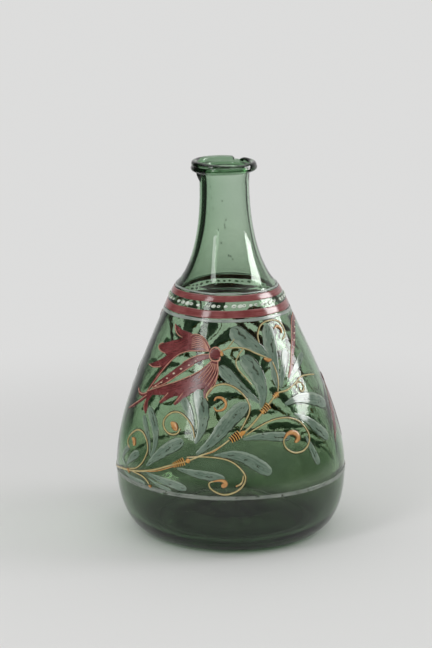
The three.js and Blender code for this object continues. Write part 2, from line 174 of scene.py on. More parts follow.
vessel = {
    "knots": [
        dict(at=(45.5, 0.0), leave=(12.5, 0.0)),
        dict(at=(66.5, 37.2), arrive=(0.0, 23.4), leave=(0.0, 20.2)),
        dict(at=(51.5, 95.8), arrive=lean(22.1, 16.6), leave=lean(22.1, 10.6)),
        dict(at=(33.2, 137.6), arrive=lean(24.6, 10.6), leave=lean(24.6, 3.6)),
        dict(at=(26.3, 148.1), arrive=lean(46.6, 3.6), leave=lean(36.0, 14.2)),
        dict(at=(14.1, 201.7), arrive=(0.0, 21.8), leave=(0.0, 4.0)),
        dict(at=(14.6, 212.15), arrive=(0.0, 4.0), leave=(0.0, 0.7)),
    ],
    "under": [      # the pushed-up base with its pontil scar, from the middle out to the foot
        dict(at=(0.0, 12.2), leave=(3.0, 0.0)),
        dict(at=(9.0, 12.2), arrive=(3.0, 0.0), leave=(0.3, 0.0)),
        dict(at=(9.8, 13.0), arrive=(0.0, 0.3), leave=(15.0, 0.0)),
        dict(at=(41.5, 0.0), arrive=(5.0, -6.5), leave=(1.0, 0.0)),
    ],
    "floor": [      # the same base seen from inside
        dict(at=(47.0, 7.0), arrive=(-11.0, 0.0), leave=(-15.0, 0.0)),
        dict(at=(0.0, 19.5), arrive=(-15.0, 0.0)),
    ],
    "footEase": (1.0, 0.0),
    "heelDrop": (0.0, -18.0),       # how steeply the inner wall comes down to the heel
    "boreDrop": (0.0, -3.0),        # and how it leaves the mouth
    "rimRadius": 1.25,
    "bodyWall": 4.7,
    "neckWall": 3.1,
    "bellyLevel": 37.2,     # the wall thins from here up to the foot of the neck
    "neckFoot": 148.1,
    "boreShift": (0.0, 0.7),        # the hollow leaves the axis in the neck, towards the right
    "boreShiftFrom": 120,
    "boreShiftOver": 60,
    "ripple": 0.24,         # slow waves of the inner wall, above the floor
    "rippleFrom": 24,
    "rippleSize": (16, 40),         # across and upright
    "fineRipple": (9, 0.4),         # size and share of the smaller ones
    "tilt": -0.022,         # the bottle leans a little to the left as it rises
    "around": 192,
}


def tiltAt(height):
    return vessel["tilt"] * (height - vessel["bellyLevel"])


def between(value, low, high):      # 0 to 1 between two values, and level outside them
    return min(1.0, max(0.0, (value - low) / (high - low)))


def bezierRow(first, second, steps=24):
    start = Vector((*first["at"], 0))
    end = Vector((*second["at"], 0))
    leave = start + Vector((*first["leave"], 0))
    arrive = end - Vector((*second["arrive"], 0))
    return interpolate_bezier(start, leave, arrive, end, steps)


def sampleWall():
    rows = []
    for first, second in zip(vessel["knots"], vessel["knots"][1:]):
        rows += [(p.y, p.x) for p in bezierRow(first, second)][:-1]
    radius, top = vessel["knots"][-1]["at"]
    return [*rows, (top, radius)]


wallRows = sampleWall()


def wallRadius(height):
    for (low, r1), (high, r2) in zip(wallRows[:-1], wallRows[1:]):
        if low <= height <= high and high > low:
            return r1 + (r2 - r1) * (height - low) / (high - low)
    return wallRows[-1][1]


def wallNormal(height):         # outward and upward parts of the wall's normal
    step = 0.6
    rise = (wallRadius(height + step) - wallRadius(height - step)) / (2 * step)
    length = math.hypot(1, rise)
    return 1 / length, -rise / length


def onWall(azimuth, height, lift=0.0):      # azimuth in degrees from the front towards the right
    outward, upward = wallNormal(height)
    radius = wallRadius(height) + lift * outward
    level = height + lift * upward
    turn = math.radians(azimuth)
    return Vector((radius * math.sin(turn) + tiltAt(height), -radius * math.cos(turn), level)) * mm


def openEdit(piece):
    bpy.ops.object.select_all(action="DESELECT")
    bpy.context.view_layer.objects.active = piece
    piece.select_set(True)
    bpy.ops.object.mode_set(mode="EDIT")
    bpy.ops.mesh.select_all(action="SELECT")


def weldAndClose(gap):      # doubles merged and faces turned outwards
    bpy.ops.mesh.remove_doubles(threshold=gap * mm)
    bpy.ops.mesh.select_all(action="SELECT")
    bpy.ops.mesh.normals_make_consistent(inside=False)
    bpy.ops.object.mode_set(mode="OBJECT")


def rollGrid(rows, around, place):      # place(row, angle) gives each vertex its spot and its UV
    bpy.ops.object.select_all(action="DESELECT")
    bpy.ops.mesh.primitive_grid_add(x_subdivisions=rows, y_subdivisions=around, size=1)
    piece = bpy.context.object
    texture = {}
    for vertex in piece.data.vertices:
        row = round((vertex.co.x + 0.5) * rows)
        angle = 2 * math.pi * round((vertex.co.y + 0.5) * around) / around
        vertex.co, texture[vertex.index] = place(row, angle)
    uv = piece.data.uv_layers.active.data
    for loop in piece.data.loops:
        uv[loop.index].uv = texture[loop.vertex_index]
    openEdit(piece)
    weldAndClose(0.001)
    bpy.ops.object.shade_smooth()
    return piece


def joinPieces(pieces):
    bpy.ops.object.select_all(action="DESELECT")
    for piece in pieces:
        piece.select_set(True)
    bpy.context.view_layer.objects.active = pieces[0]
    bpy.ops.object.join()
    return bpy.context.object


def finishPiece(piece, name, finish, nodes=()):
    piece.name = name
    piece.data.name = name
    piece.data.materials.clear()
    piece.data.materials.append(finish)
    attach(piece, "root")
    if nodes:
        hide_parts(*nodes)


# Glass body
def turned(handle):     # for the inner wall, which runs the other way
    return tuple(-v for v in handle)


def innerKnots():
    knots = []
    for knot in reversed(vessel["knots"][1:-1]):
        radius, height = knot["at"]
        outward, upward = wallNormal(height)
        share = between(height, vessel["bellyLevel"], vessel["neckFoot"])
        wall = vessel["bodyWall"] + (vessel["neckWall"] - vessel["bodyWall"]) * share
        knots.append(dict(at=(radius - wall * outward, height - wall * upward),
                          arrive=turned(knot["leave"]), leave=turned(knot["arrive"])))
    knots[-1]["leave"] = vessel["heelDrop"]
    return knots


def profileKnots():
    rim = vessel["rimRadius"]
    bend = rim * 0.5523     # handle of a quarter circle
    outer = [dict(knot) for knot in vessel["knots"]]
    outer[0]["arrive"] = vessel["footEase"]
    outer[-1]["leave"] = (0.0, bend)
    radius, top = outer[-1]["at"]
    rimKnots = [
        dict(at=(radius - rim, top + rim), arrive=(-bend, 0.0), leave=(-bend, 0.0)),
        dict(at=(radius - 2 * rim, top), arrive=(0.0, -bend), leave=vessel["boreDrop"]),
    ]
    return vessel["under"] + outer + rimKnots + innerKnots() + vessel["floor"]


def workInside(spot):       # the inner wall waves and leaves the axis, and the whole bottle leans
    radius = math.hypot(spot.x, spot.y)
    onInnerWall = spot.z > vessel["rippleFrom"] and radius > 5
    inside = between(wallRadius(spot.z) - radius, 0, 2) if onInnerWall else 0.0
    wide, tall = vessel["rippleSize"]
    fine, share = vessel["fineRipple"]
    wave = noise.noise(Vector((spot.x / wide, spot.y / wide, spot.z / tall)))
    wave += noise.noise(spot / fine) * share
    scale = 1 + inside * vessel["ripple"] * wave / max(radius, 1)
    inBody, inNeck = vessel["boreShift"]
    start = vessel["boreShiftFrom"]
    bore = inside * (inBody + (inNeck - inBody) * between(spot.z, start, start + vessel["boreShiftOver"]))
    return Vector((spot.x * scale + bore + tiltAt(spot.z), spot.y * scale, spot.z))


def makeGlassBody():
    knots = profileKnots()
    bpy.ops.object.select_all(action="DESELECT")
    bpy.ops.curve.primitive_bezier_curve_add()
    line = bpy.context.object
    spline = line.data.splines[0]
    line.data.resolution_u = 12
    spline.resolution_u = 12
    spline.bezier_points.add(len(knots) - 2)
    for point, knot in zip(spline.bezier_points, knots):
        x, z = knot["at"]
        arrive = knot.get("arrive", (0.0, 0.0))
        leave = knot.get("leave", (0.0, 0.0))
        point.handle_left_type = "FREE"
        point.handle_right_type = "FREE"
        point.co = Vector((x, 0, z)) * mm
        point.handle_left = Vector((x - arrive[0], 0, z - arrive[1])) * mm
        point.handle_right = Vector((x + leave[0], 0, z + leave[1])) * mm
    bpy.ops.object.convert(target="MESH")
    body = bpy.context.object
    openEdit(body)
    bpy.ops.mesh.spin(steps=vessel["around"], angle=2 * math.pi, center=(0, 0, 0), axis=(0, 0, 1))
    bpy.ops.mesh.select_all(action="SELECT")
    weldAndClose(0.002)
    for vertex in body.data.vertices:
        vertex.co = workInside(vertex.co / mm) * mm
    bpy.ops.object.shade_smooth()
    return body


glass = {
    "ior": 1.5,
    "roughness": 0.02,
    "tint": (0.28, 0.57, 0.29),
    "density": 160.0,
    "shadowTint": (0.87, 0.885, 0.865),
    "darkening": [       # painted shade, deepest at the foot: height in millimetres, and the light that the surface lets through
        (0, (0.14, 0.15, 0.13)), (3, (0.32, 0.34, 0.31)), (9, (0.38, 0.40, 0.37)),
        (20, (0.31, 0.33, 0.29)), (31, (0.36, 0.38, 0.33)), (41, (0.97, 0.93, 0.83)),
        (54, (1.0, 1.0, 0.96)), (90, (1.0, 0.99, 0.96)), (125, (0.96, 0.96, 0.94)),
        (148, (0.80, 0.82, 0.79)), (160, (0.86, 0.88, 0.85)), (175, (0.95, 0.96, 0.94)),
        (192, (1.0, 1.0, 1.0)),
    ],
    "darkeningTop": 216,
    "tide": 0.07,           # how far its edges wander up and down
    "mottle": (0.34, (0.42, 0.44, 0.34)),       # share and tint of the cloudy spots on the body
    "bump": (0.07, 0.002),          # strength and distance
    "pitting": 0.45,        # unevenness of the skin between foot and shoulder
}


def glassShader(tree, colour, bump, tint, density):
    shell = tree.node("ShaderNodeBsdfPrincipled", inputs={
        "Base Color": colour, "Roughness": glass["roughness"], "IOR": glass["ior"],
        "Transmission Weight": 1.0, "Normal": bump})
    clear = tree.node("ShaderNodeBsdfTransparent", inputs={"Color": glass["shadowTint"]})
    shadow = tree.node("ShaderNodeLightPath", output="Is Shadow Ray")
    surface = tree.node("ShaderNodeMixShader", inputs={0: shadow, 1: shell, 2: clear})
    volume = tree.node("ShaderNodeVolumeAbsorption", inputs={"Color": tint, "Density": density})
    tree.node("ShaderNodeOutputMaterial", inputs={"Surface": surface, "Volume": volume})


def glassFinish():
    made, tree = material("antiqueGreenGlass")
    place = tree.place()
    height = tree.split(place, 2)
    onBody = (1 - (height / mm).ramp(118, 150)) * (height / mm).ramp(34, 60)
    pits = tree.noise(place, 190.0, 3.0, 0.6) * onBody
    waves = tree.noise(tree.stretch(place, 0.35), 60.0, 2.0)
    bump = tree.bump(*glass["bump"], waves + pits * glass["pitting"])
    tide = tree.noise(tree.stretch(place, 5), 26.0, 4.0, 0.6)
    level = height / (glass["darkeningTop"] * mm) + (tide - 0.5) * glass["tide"]
    stops = [(z / glass["darkeningTop"], colour) for z, colour in glass["darkening"]]
    # painted shade: the glass lets through less light towards the foot, and a little less round the foot
    # of the neck
    darkening = tree.node("ShaderNodeValToRGB", {"stops": stops}, {"Fac": level})
    mottle = tree.noise(place, 78.0, 5.0, 0.68).ramp(0.44, 0.7) * (1 - level.ramp(0.45, 0.68))
    share, cloud = glass["mottle"]
    glassShader(tree, tree.blend(mottle * share, darkening, cloud), bump, glass["tint"], glass["density"])
    return made


print("glass body")
finishPiece(makeGlassBody(), "glassBody", glassFinish(), ["glass_vessel"])


# Lip: a thread of glass wound twice round the mouth over a thin bead, with a drawn-out tail at the left
lip = {
    "neckTop": 212.1,
    "rows": 144,
    "around": 24,
    "foot": 209.4,          # lower edge of the bead, which sinks to the left
    "sink": 0.8,
    "rollLevel": 2.75,      # middle of the first turn above that edge
    "rollSize": (2.15, 1.95),
    "rollReach": 2.2,
    "beadSize": (0.85, 0.72),
    "beadReach": 0.85,
    "lapLevel": 214.05,
    "lapSize": (1.95, 1.85),
    "lapReach": 2.1,
    "lapFrom": 157,         # the second turn starts blunt at the back and ends just short of there
    "lapTo": 508,
    "tail": [(-73, 209.0), (-72, 207.4), (-71, 205.6), (-70, 203.7)],
    "tailSize": [(3.2, 1.9), (2.9, 1.8), (1.7, 1.2), (0.3, 0.3)],
    "voxel": 0.26,
    "soften": (0.5, 4),     # factor and passes
    "embed": 0.12,
    "tint": (0.32, 0.54, 0.33),
    "density": 480.0,
    "bump": (0.06, 0.002),
    "darkening": (0.3, (0.7, 0.72, 0.62)),       # share and tint
}


def lipFoot(azimuth):
    return lip["foot"] + lip["sink"] * min(0.0, math.sin(math.radians(azimuth)))


def lipPlace(azimuth, reach, level):
    radius = wallRadius(min(level, lip["neckTop"])) - lip["embed"] + max(0.0, reach)
    turn = math.radians(azimuth)
    return Vector((radius * math.sin(turn) + tiltAt(level), -radius * math.cos(turn), level)) * mm


def lapShare(azimuth):      # how full the second turn is: fat at the left, slim over the front
    slim = math.exp(-((azimuth - 372) / 36) ** 2)
    blunt = min(1.0, (azimuth - lip["lapFrom"]) / 9, (lip["lapTo"] - azimuth) / 16)
    return (1 - 0.3 * slim) * math.sqrt(max(0.0, 1 - (1 - blunt) ** 2))


def layTube(middle):        # middle(share) gives azimuth, reach, level, width and height of the tube
    def place(row, angle):
        azimuth, reach, level, wide, tall = middle(row / lip["rows"])
        return lipPlace(azimuth, reach + wide * math.cos(angle), level + tall * math.sin(angle)), (0, 0)

    return rollGrid(lip["rows"], lip["around"], place)


def rollMiddle(share):
    azimuth = 360 * share
    turn = math.radians(azimuth)
    swell = 1 + 0.05 * noise.noise(Vector((math.cos(turn), math.sin(turn), 4.2)) * 2)
    wide, tall = lip["rollSize"]
    return azimuth, lip["rollReach"] * swell, lipFoot(azimuth) + lip["rollLevel"], wide * swell, tall


def beadMiddle(share):
    azimuth = 360 * share
    wide, tall = lip["beadSize"]
    return azimuth, lip["beadReach"], lipFoot(azimuth) + tall, wide, tall


def lapMiddle(share):
    azimuth = lip["lapFrom"] + (lip["lapTo"] - lip["lapFrom"]) * share
    size = lapShare(azimuth)
    wide, tall = lip["lapSize"]
    level = lip["lapLevel"] - (1 - size) * 1.2 - 0.5 * max(0.0, math.sin(math.radians(azimuth)))
    return azimuth, lip["lapReach"] * (0.55 + 0.45 * size), level, wide * size, tall * size


def tailMiddle(share):
    place = share * (len(lip["tail"]) - 1)
    k = min(int(place), len(lip["tail"]) - 2)
    azimuth, level = Vector(lip["tail"][k]).lerp(Vector(lip["tail"][k + 1]), place - k)
    wide, thick = Vector(lip["tailSize"][k]).lerp(Vector(lip["tailSize"][k + 1]), place - k)
    return azimuth, level, wide, thick


def makeTail():
    bpy.ops.object.select_all(action="DESELECT")
    bpy.ops.mesh.primitive_uv_sphere_add(segments=24, ring_count=24, radius=1)
    tail = bpy.context.object
    for vertex in tail.data.vertices:
        share = between(-vertex.co.z, -1, 1)
        azimuth, level, wide, thick = tailMiddle(share)
        flat = Vector((vertex.co.x, vertex.co.y))
        if flat.length > 0.001:
            flat.normalize()
        sideways = math.degrees(wide * flat.x / wallRadius(level))
        spread = 0.0 if share in (0.0, 1.0) else 1.0
        vertex.co = lipPlace(azimuth + sideways * spread, thick * max(0.0, flat.y) * spread,
                             level + (1 - share) * 0.6)
    return tail


def makeLip():
    thread = joinPieces([layTube(rollMiddle), layTube(beadMiddle), layTube(lapMiddle), makeTail()])
    remesh = thread.modifiers.new("fuse", "REMESH")
    remesh.mode = "VOXEL"
    remesh.voxel_size = lip["voxel"] * mm
    bpy.ops.object.modifier_apply(modifier="fuse")
    soften = thread.modifiers.new("fireSoftened", "SMOOTH")
    soften.factor, soften.iterations = lip["soften"]
    bpy.ops.object.modifier_apply(modifier="fireSoftened")
    bpy.ops.object.shade_smooth()
    return thread


def threadFinish():
    made, tree = material("threadGlass")
    place = tree.place()
    bump = tree.bump(*lip["bump"], tree.noise(tree.stretch(place, 3), 140.0, 2.0))
    darkening = tree.noise(place, 260.0, 3.0).ramp(0.5, 0.75)
    share, cloud = lip["darkening"]
    glassShader(tree, tree.blend(darkening * share, (1, 1, 1), cloud), bump, lip["tint"], lip["density"])
    return made


print("lip thread")
finishPiece(makeLip(), "lipThread", threadFinish(), ["lip_trail"])


# Enamel strokes: each is a closed, crowned sliver of paint laid on the wall along listed places
def perDegree(height):
    return math.radians(wallRadius(height))


def perRise(height):
    return 1 / wallNormal(height)[0]


def curveThrough(places, fine=10):      # a smooth line that passes every place
    points = [Vector(p) for p in places]
    points = [2 * points[0] - points[1], *points, 2 * points[-1] - points[-2]]
    rows = []
    for before, start, end, after in zip(points, points[1:], points[2:], points[3:]):
        for k in range(fine):
            t = k / fine
            rows.append(0.5 * (2 * start + (end - before) * t
                               + (2 * before - 5 * start + 4 * end - after) * t ** 2
                               + (3 * start - before - 3 * end + after) * t ** 3))
    return rows + [points[-2]]


def travel(rows):       # distance along the wall in millimetres at each place
    along = [0.0]
    for first, second in zip(rows, rows[1:]):
        height = (first.y + second.y) / 2
        step = second - first
        along.append(along[-1] + math.hypot(step.x * perDegree(height), step.y * perRise(height)))
    return along


def placeAt(rows, along, distance):
    for k in range(1, len(along)):
        if distance <= along[k] or k == len(along) - 1:
            span = max(along[k] - along[k - 1], 1e-9)
            return rows[k - 1].lerp(rows[k], between(distance, along[k - 1], along[k - 1] + span))


def swellAt(widths, share):
    place = share * (len(widths) - 1)
    k = min(int(place), len(widths) - 2)
    t = place - k
    t = t * t * (3 - 2 * t)
    return widths[k] * (1 - t) + widths[k + 1] * t


roundShares = (0.04, 0.15, 0.35, 0.65)      # rows of the round end, as shares of its length


def endSpacing(length, step, blunt):       # shares of the length, closer together at the two ends
    count = max(4, round(length / step))
    inner = [k / count for k in range(1, count)]
    start, end = ([reach * share / length for share in roundShares] for reach in blunt)
    first, last = start[-1], 1 - end[-1]
    middle = [s for s in inner if first + 0.3 / count < s < last - 0.3 / count] or [(first + last) / 2]
    return [0.0, *start, *middle, *[1 - s for s in reversed(end)], 1.0]


def edgesAlong(places, widths, step, blunt):
    rows = curveThrough(places)
    along = travel(rows)
    length = along[-1]
    look = 0.15     # millimetres ahead and behind that give the direction
    edges = []
    for share in endSpacing(length, step, blunt):
        distance = share * length
        centre = placeAt(rows, along, distance)
        ahead, behind = min(length, distance + look), max(0.0, distance - look)
        run = placeAt(rows, along, ahead) - placeAt(rows, along, behind)
        across, up = run.x * perDegree(centre.y), run.y * perRise(centre.y)
        size = math.hypot(across, up) or 1.0
        half = swellAt(widths, share) / 2
        for reach, left in zip(blunt, (distance, (1 - share) * length)):
            if left < reach:
                half *= math.sqrt(max(0.0, 1 - (1 - left / reach) ** 2))
        side = Vector((-up / size / perDegree(centre.y), across / size / perRise(centre.y))) * half
        edges.append((centre + side, centre - side, distance))
    return edges


def edgesBetween(upper, lower, step):
    rows = [curveThrough(upper), curveThrough(lower)]
    alongs = [travel(r) for r in rows]
    length = max(a[-1] for a in alongs)
    edges = []
    for share in endSpacing(length, step, (0.8, 0.8)):
        first, second = (placeAt(r, a, share * a[-1]) for r, a in zip(rows, alongs))
        edges.append((first, second, share * length))
    return edges


underside = 0.12        # how far a stroke reaches into the wall, in millimetres


def layStroke(edges, brush, turn=0.0, seed=0.0):
    steps = len(edges) - 1
    endRows = () if brush.get("ring") else (0, steps)

    def place(row, angle):
        first, second, distance = edges[row]
        across, rise = math.cos(angle), math.sin(angle)
        middle = (first + second) / 2
        uneven = noise.noise(Vector((distance * 0.55, seed * 7.3, 3.0 * (across > 0))))
        wobble = 1 + brush["wobble"] * uneven
        spot = middle + (first - middle) * across * wobble
        lift = brush["crown"] * rise ** brush["flat"] if rise > 0 else underside * rise
        lift += brush["base"] * (rise > 0.01)
        height = 0.0 if row in endRows else lift        # the ends close on the wall
        return onWall(spot.x + turn, spot.y, height), (distance / 10 + seed, across)

    return rollGrid(steps, brush["around"], place)


# Enamel finishes: the paint runs along its stroke, so its streaks follow the piece's own UV map
def paintTone(tree, dark, light, look):
    uv = tree.place("UV")
    along, across = tree.split(uv, 0), tree.split(uv, 1)
    streakPlace = tree.join(X=along * look["streakRun"], Y=across * look["streakAcross"])
    streaks = tree.noise(streakPlace, 1.0, 3.0)
    patches = tree.noise(tree.place(), look["patches"], 2.0)
    tone = tree.blend((streaks * 0.6 + patches * 0.4).ramp(0.32, 0.68), srgb(*dark), srgb(*light))
    return along, across, streaks, patches, tone


def paintShell(tree, colour, streaks, patches, look):
    place = tree.place()
    grit = tree.noise(place, 900.0, 2.0, 0.6)
    bump = tree.bump(look["bump"], 0.0002, streaks * 0.7 + grit * 0.3)
    worn = tree.noise(place, look["wearScale"], 3.0, 0.62).ramp(look["wearFrom"], look["wearFrom"] + 0.02)
    shell = tree.node("ShaderNodeBsdfPrincipled", inputs={
        "Base Color": colour, "Roughness": patches * look["rough"] + look["rough"], "IOR": look["ior"],
        "Alpha": (1 - worn) * look["cover"], "Normal": bump})
    tree.node("ShaderNodeOutputMaterial", inputs={"Surface": shell})


def enamelFinish(name, dark, light, edge, look):
    made, tree = material(name)
    _, across, streaks, patches, tone = paintTone(tree, dark, light, look)
    side = across.size().ramp(look["edgeFrom"], look["edgeTo"])
    colour = tree.blend(side * look["edgeShare"], tone, srgb(*edge))
    paintShell(tree, colour, streaks, patches, look)
    return made


leafMarks = {
    "wanderRun": 2.4,       # how fast and how far the strokes inside a leaf wander from its middle
    "wander": 1.1,
    "dashRun": 1.7,
    "dashAcross": 1.5,
    "paleSide": 0.55,       # how strong each mark is
    "darkSide": 0.8,
    "rib": 0.85,
    "specks": 0.6,
}


def leafEnamel(name, dark, light, pale, line, look):        # pale down one side and dark down the other
    made, tree = material(name)
    along, across, streaks, patches, tone = paintTone(tree, dark, light, look)
    drift = tree.noise(tree.join(X=along * leafMarks["wanderRun"]), 1.0, 2.0)
    wander = (drift - 0.5) * leafMarks["wander"]
    paleSide = (across + wander).ramp(0.5, 0.72) * (1 - across.ramp(0.9, 0.98))
    darkSide = (wander * 0.5 - across).ramp(0.8, 0.9)
    dashPlace = tree.join(X=along * leafMarks["dashRun"], Z=across * leafMarks["dashAcross"])
    dashes = tree.noise(dashPlace, 1.0, 5.0, 0.75).ramp(0.54, 0.58)
    rib = (1 - (across + wander + 0.15).size().ramp(0.05, 0.24)) * dashes
    specks = tree.noise(tree.place(), 620.0, 2.0, 0.5).ramp(0.66, 0.72)
    colour = tree.blend(paleSide * leafMarks["paleSide"], tone, srgb(*pale))
    for mark, share in ((darkSide, "darkSide"), (rib, "rib"), (specks, "specks")):
        colour = tree.blend(mark * leafMarks[share], colour, srgb(*line))
    paintShell(tree, colour, streaks, patches, look)
    return made


broadLook = dict(streakRun=1.6, streakAcross=5.0, patches=160.0, bump=0.3, rough=0.08, ior=1.7,
                 edgeFrom=0.82, edgeTo=0.98, edgeShare=0.45, wearScale=420.0, wearFrom=0.69, cover=0.93)
lineLook = dict(streakRun=5.0, streakAcross=1.0, patches=320.0, bump=0.35, rough=0.14, ior=1.6,
                edgeFrom=0.45, edgeTo=0.95, edgeShare=0.75, wearScale=700.0, wearFrom=0.76, cover=1.0)

print("enamel finishes")        # darker and lighter tone of the paint, then its edge, as seen on screen
leafFinish = leafEnamel("greyGreenEnamel", (98, 119, 104), (132, 150, 134), (164, 178, 161), (44, 46, 26),
                        {**broadLook, "cover": 0.79, "bump": 0.2, "rough": 0.06, "ior": 1.8})
redLook = {**broadLook, "streakAcross": 7.0, "rough": 0.17, "wearFrom": 0.7, "cover": 0.92}
redFinish = enamelFinish("redEnamel", (82, 28, 28), (132, 64, 64), (64, 24, 18), redLook)
bandRedFinish = enamelFinish("bandRedEnamel", (110, 52, 52), (146, 88, 86), (160, 116, 108),
                             {**broadLook, "streakRun": 0.7, "wearFrom": 0.74, "cover": 1.0})
greyFinish = enamelFinish("greyEnamel", (124, 134, 126), (168, 176, 168), (104, 114, 104),
                          {**broadLook, "streakRun": 0.7, "wearFrom": 0.7, "cover": 0.92})
wornLook = {**broadLook, "streakRun": 0.5, "streakAcross": 3.0, "wearFrom": 0.61, "cover": 0.74}
footFinish = enamelFinish("wornGreyEnamel", (104, 113, 104), (150, 156, 147), (92, 101, 90), wornLook)
stemFinish = enamelFinish("strawEnamel", (158, 144, 97), (190, 174, 126), (76, 58, 28), lineLook)
orangeFinish = enamelFinish("orangeEnamel", (166, 112, 62), (202, 156, 98), (92, 56, 26), lineLook)
emberFinish = enamelFinish("emberEnamel", (180, 124, 58), (210, 160, 88), (104, 60, 22), lineLook)
barFinish = enamelFinish("paleOrangeEnamel", (180, 130, 64), (212, 168, 94), (106, 62, 24),
                         {**lineLook, "edgeShare": 0.35})
# brown of the painted shadow under the knot bars
knotShadowFinish = enamelFinish("paintedKnotShadow", (44, 22, 10), (74, 40, 20), (40, 24, 12),
                           {**lineLook, "cover": 0.95})
shadeFinish = enamelFinish("umberEnamel", (58, 44, 22), (96, 78, 44), (58, 44, 24),
                           {**lineLook, "cover": 0.8, "wearFrom": 0.6})
pinkFinish = enamelFinish("salmonEnamel", (166, 108, 90), (204, 154, 132), (84, 34, 28),
                          {**lineLook, "edgeShare": 0.6})
creamFinish = enamelFinish("creamEnamel", (184, 158, 138), (222, 202, 182), (112, 56, 46),
                           {**lineLook, "edgeFrom": 0.7, "wearFrom": 0.9, "edgeShare": 0.6})
eyeFinish = enamelFinish("eyeEnamel", (78, 92, 78), (108, 120, 106), (64, 78, 62), lineLook)
pearlLook = {**lineLook, "edgeFrom": 0.85, "edgeTo": 1.0, "wearFrom": 0.9, "edgeShare": 0.4}
pearlFinish = enamelFinish("pearlEnamel", (186, 196, 182), (220, 226, 214), (120, 136, 116), pearlLook)


# Brushes: crown of the paint over its base in millimetres, how flat its top is, and the hand's wobble
leafBrush = dict(crown=0.08, base=0.10, flat=0.4, around=20, step=1.0, wobble=0.10)
petalBrush = dict(crown=0.10, base=0.10, flat=0.4, around=24, step=0.9, wobble=0.06)
knotShadowBrush = dict(crown=0.05, base=0.20, flat=0.4, around=12, step=0.7, wobble=0.10)
shadeBrush = dict(crown=0.05, base=0.20, flat=0.4, around=8, step=0.7, wobble=0.35)
lineBrush = dict(crown=0.26, base=0.20, flat=0.9, around=10, step=0.55, wobble=0.22)
barBrush = dict(crown=0.40, base=0.42, flat=0.8, around=10, step=0.5, wobble=0.15)
dropBrush = dict(crown=0.62, base=0.26, flat=0.8, around=14, step=0.5, wobble=0.10)
dotBrush = {**dropBrush, "crown": 0.45, "base": 0.2, "around": 12}
eyeBrush = {**dropBrush, "crown": 0.12, "base": 0.62, "around": 8}
bossBrush = {**dropBrush, "crown": 0.5, "base": 0.2, "around": 24, "wobble": 0.02}
flatBossBrush = {**bossBrush, "crown": 0.25, "base": 0.15}
fleckBrush = dict(crown=0.04, base=0.05, flat=0.5, around=8, step=0.3, wobble=0.3)
bandBrush = dict(crown=0.16, base=0.10, flat=0.35, around=16, wobble=0.0, ring=True)

# Leaves of the spray: places along the middle as (azimuth, height), and widths in millimetres
leafSwell = (0.24, 0.48, 0.74, 0.94, 1.06, 1.05, 0.7)
leaves = {
    "LowLeaves": [
        dict(path=[(-43.5, 55), (-41.6, 62), (-42.6, 69), (-46.4, 75.5), (-52, 81)], width=5.2),
        dict(path=[(-44, 56), (-46.2, 63), (-50, 69.5), (-54.6, 76)], width=3.6),
        dict(path=[(-46, 49.5), (-40, 56), (-33, 62), (-24.6, 67.4)], width=7.0),
        dict(path=[(-46, 46), (-39, 44.4), (-30, 42.8), (-21.6, 41)], width=4.6),
        dict(path=[(-44, 43), (-38, 40.6), (-30, 38.8)], width=2.2),
    ],
    "KnotLeaves": [
        dict(path=[(-63, 45.6), (-60.5, 49), (-57, 52.4), (-52.5, 55.2)], width=5.0),
        dict(path=[(-64, 45), (-69, 48), (-66, 53), (-62, 56.5)], width=3.8),
        dict(path=[(-66, 41), (-60, 39.6), (-53, 38.9), (-46.5, 39)], width=3.4),
    ],
    "MiddleLeaves": [
        dict(path=[(-18, 66.5), (-14.9, 75), (-15.2, 84), (-19.4, 95.6)], width=8.0),
        dict(path=[(-18.8, 69), (-20.5, 77), (-23.8, 84), (-29.5, 91)], width=5.0),
        dict(path=[(-27, 52), (-18, 50.4), (-9, 49.2), (-2.6, 48)], width=5.2),
        dict(path=[(-8, 60.6), (2, 61.2), (10, 58), (20.5, 50)], width=7.2),
        dict(path=[(-17, 61), (-9.5, 68), (-2.5, 76.4), (3.4, 82.6), (11, 88.2)], width=8.4),
    ],
    "SideLeaf": [dict(path=[(7, 69.6), (16, 70.4), (25, 69.6), (33.5, 68)], width=5.0)],
    "UpperLeaves": [
        dict(path=[(19, 85.5), (21, 93), (19.8, 101), (15.5, 108), (9.5, 112.6)], width=9.0),
        dict(path=[(18, 88), (11.5, 93.6), (4, 99.6), (-5.6, 107.8)], width=6.6),
    ],
    "CrownLeaves": [
        dict(path=[(33, 96), (33.4, 106), (34.4, 117), (37, 128)], width=8.4),
        dict(path=[(34, 94), (38, 101), (42.4, 107), (47.5, 114)], width=4.8),
        dict(path=[(32, 94), (31, 100.6), (33.6, 107)], width=3.2),
        dict(path=[(41, 96.6), (50, 102), (58, 105.4), (66, 108.4)], width=4.2),
        dict(path=[(34, 85.6), (46, 87), (58, 84.2), (71.5, 78.4)], width=7.8),
    ],
    "RightLeaves": [
        dict(path=[(39, 79.8), (48, 74.4), (55, 68), (62.6, 61.2)], width=6.6),
        dict(path=[(43.5, 67), (46, 60), (48, 54), (50, 49.6)], width=4.8),
    ],
    "BranchLeaf": [dict(path=[(32, 109.6), (22, 116.8), (13, 121.6), (3.6, 127.6)], width=9.4)],
}
leafNodes = {
    "LowLeaves": "leaves_low", "KnotLeaves": "leaves_knot", "MiddleLeaves": "leaves_middle",
    "SideLeaf": "leaf_side", "UpperLeaves": "leaves_upper", "CrownLeaves": "leaves_crown",
    "RightLeaves": "leaves_right", "BranchLeaf": "leaf_branch",
}
endLeaves = [
    dict(path=[(69, 96.7), (79, 97.2), (90, 93.2)], width=5.0),
    dict(path=[(69, 96.7), (77, 90.3), (83, 81.3)], width=5.0),
]

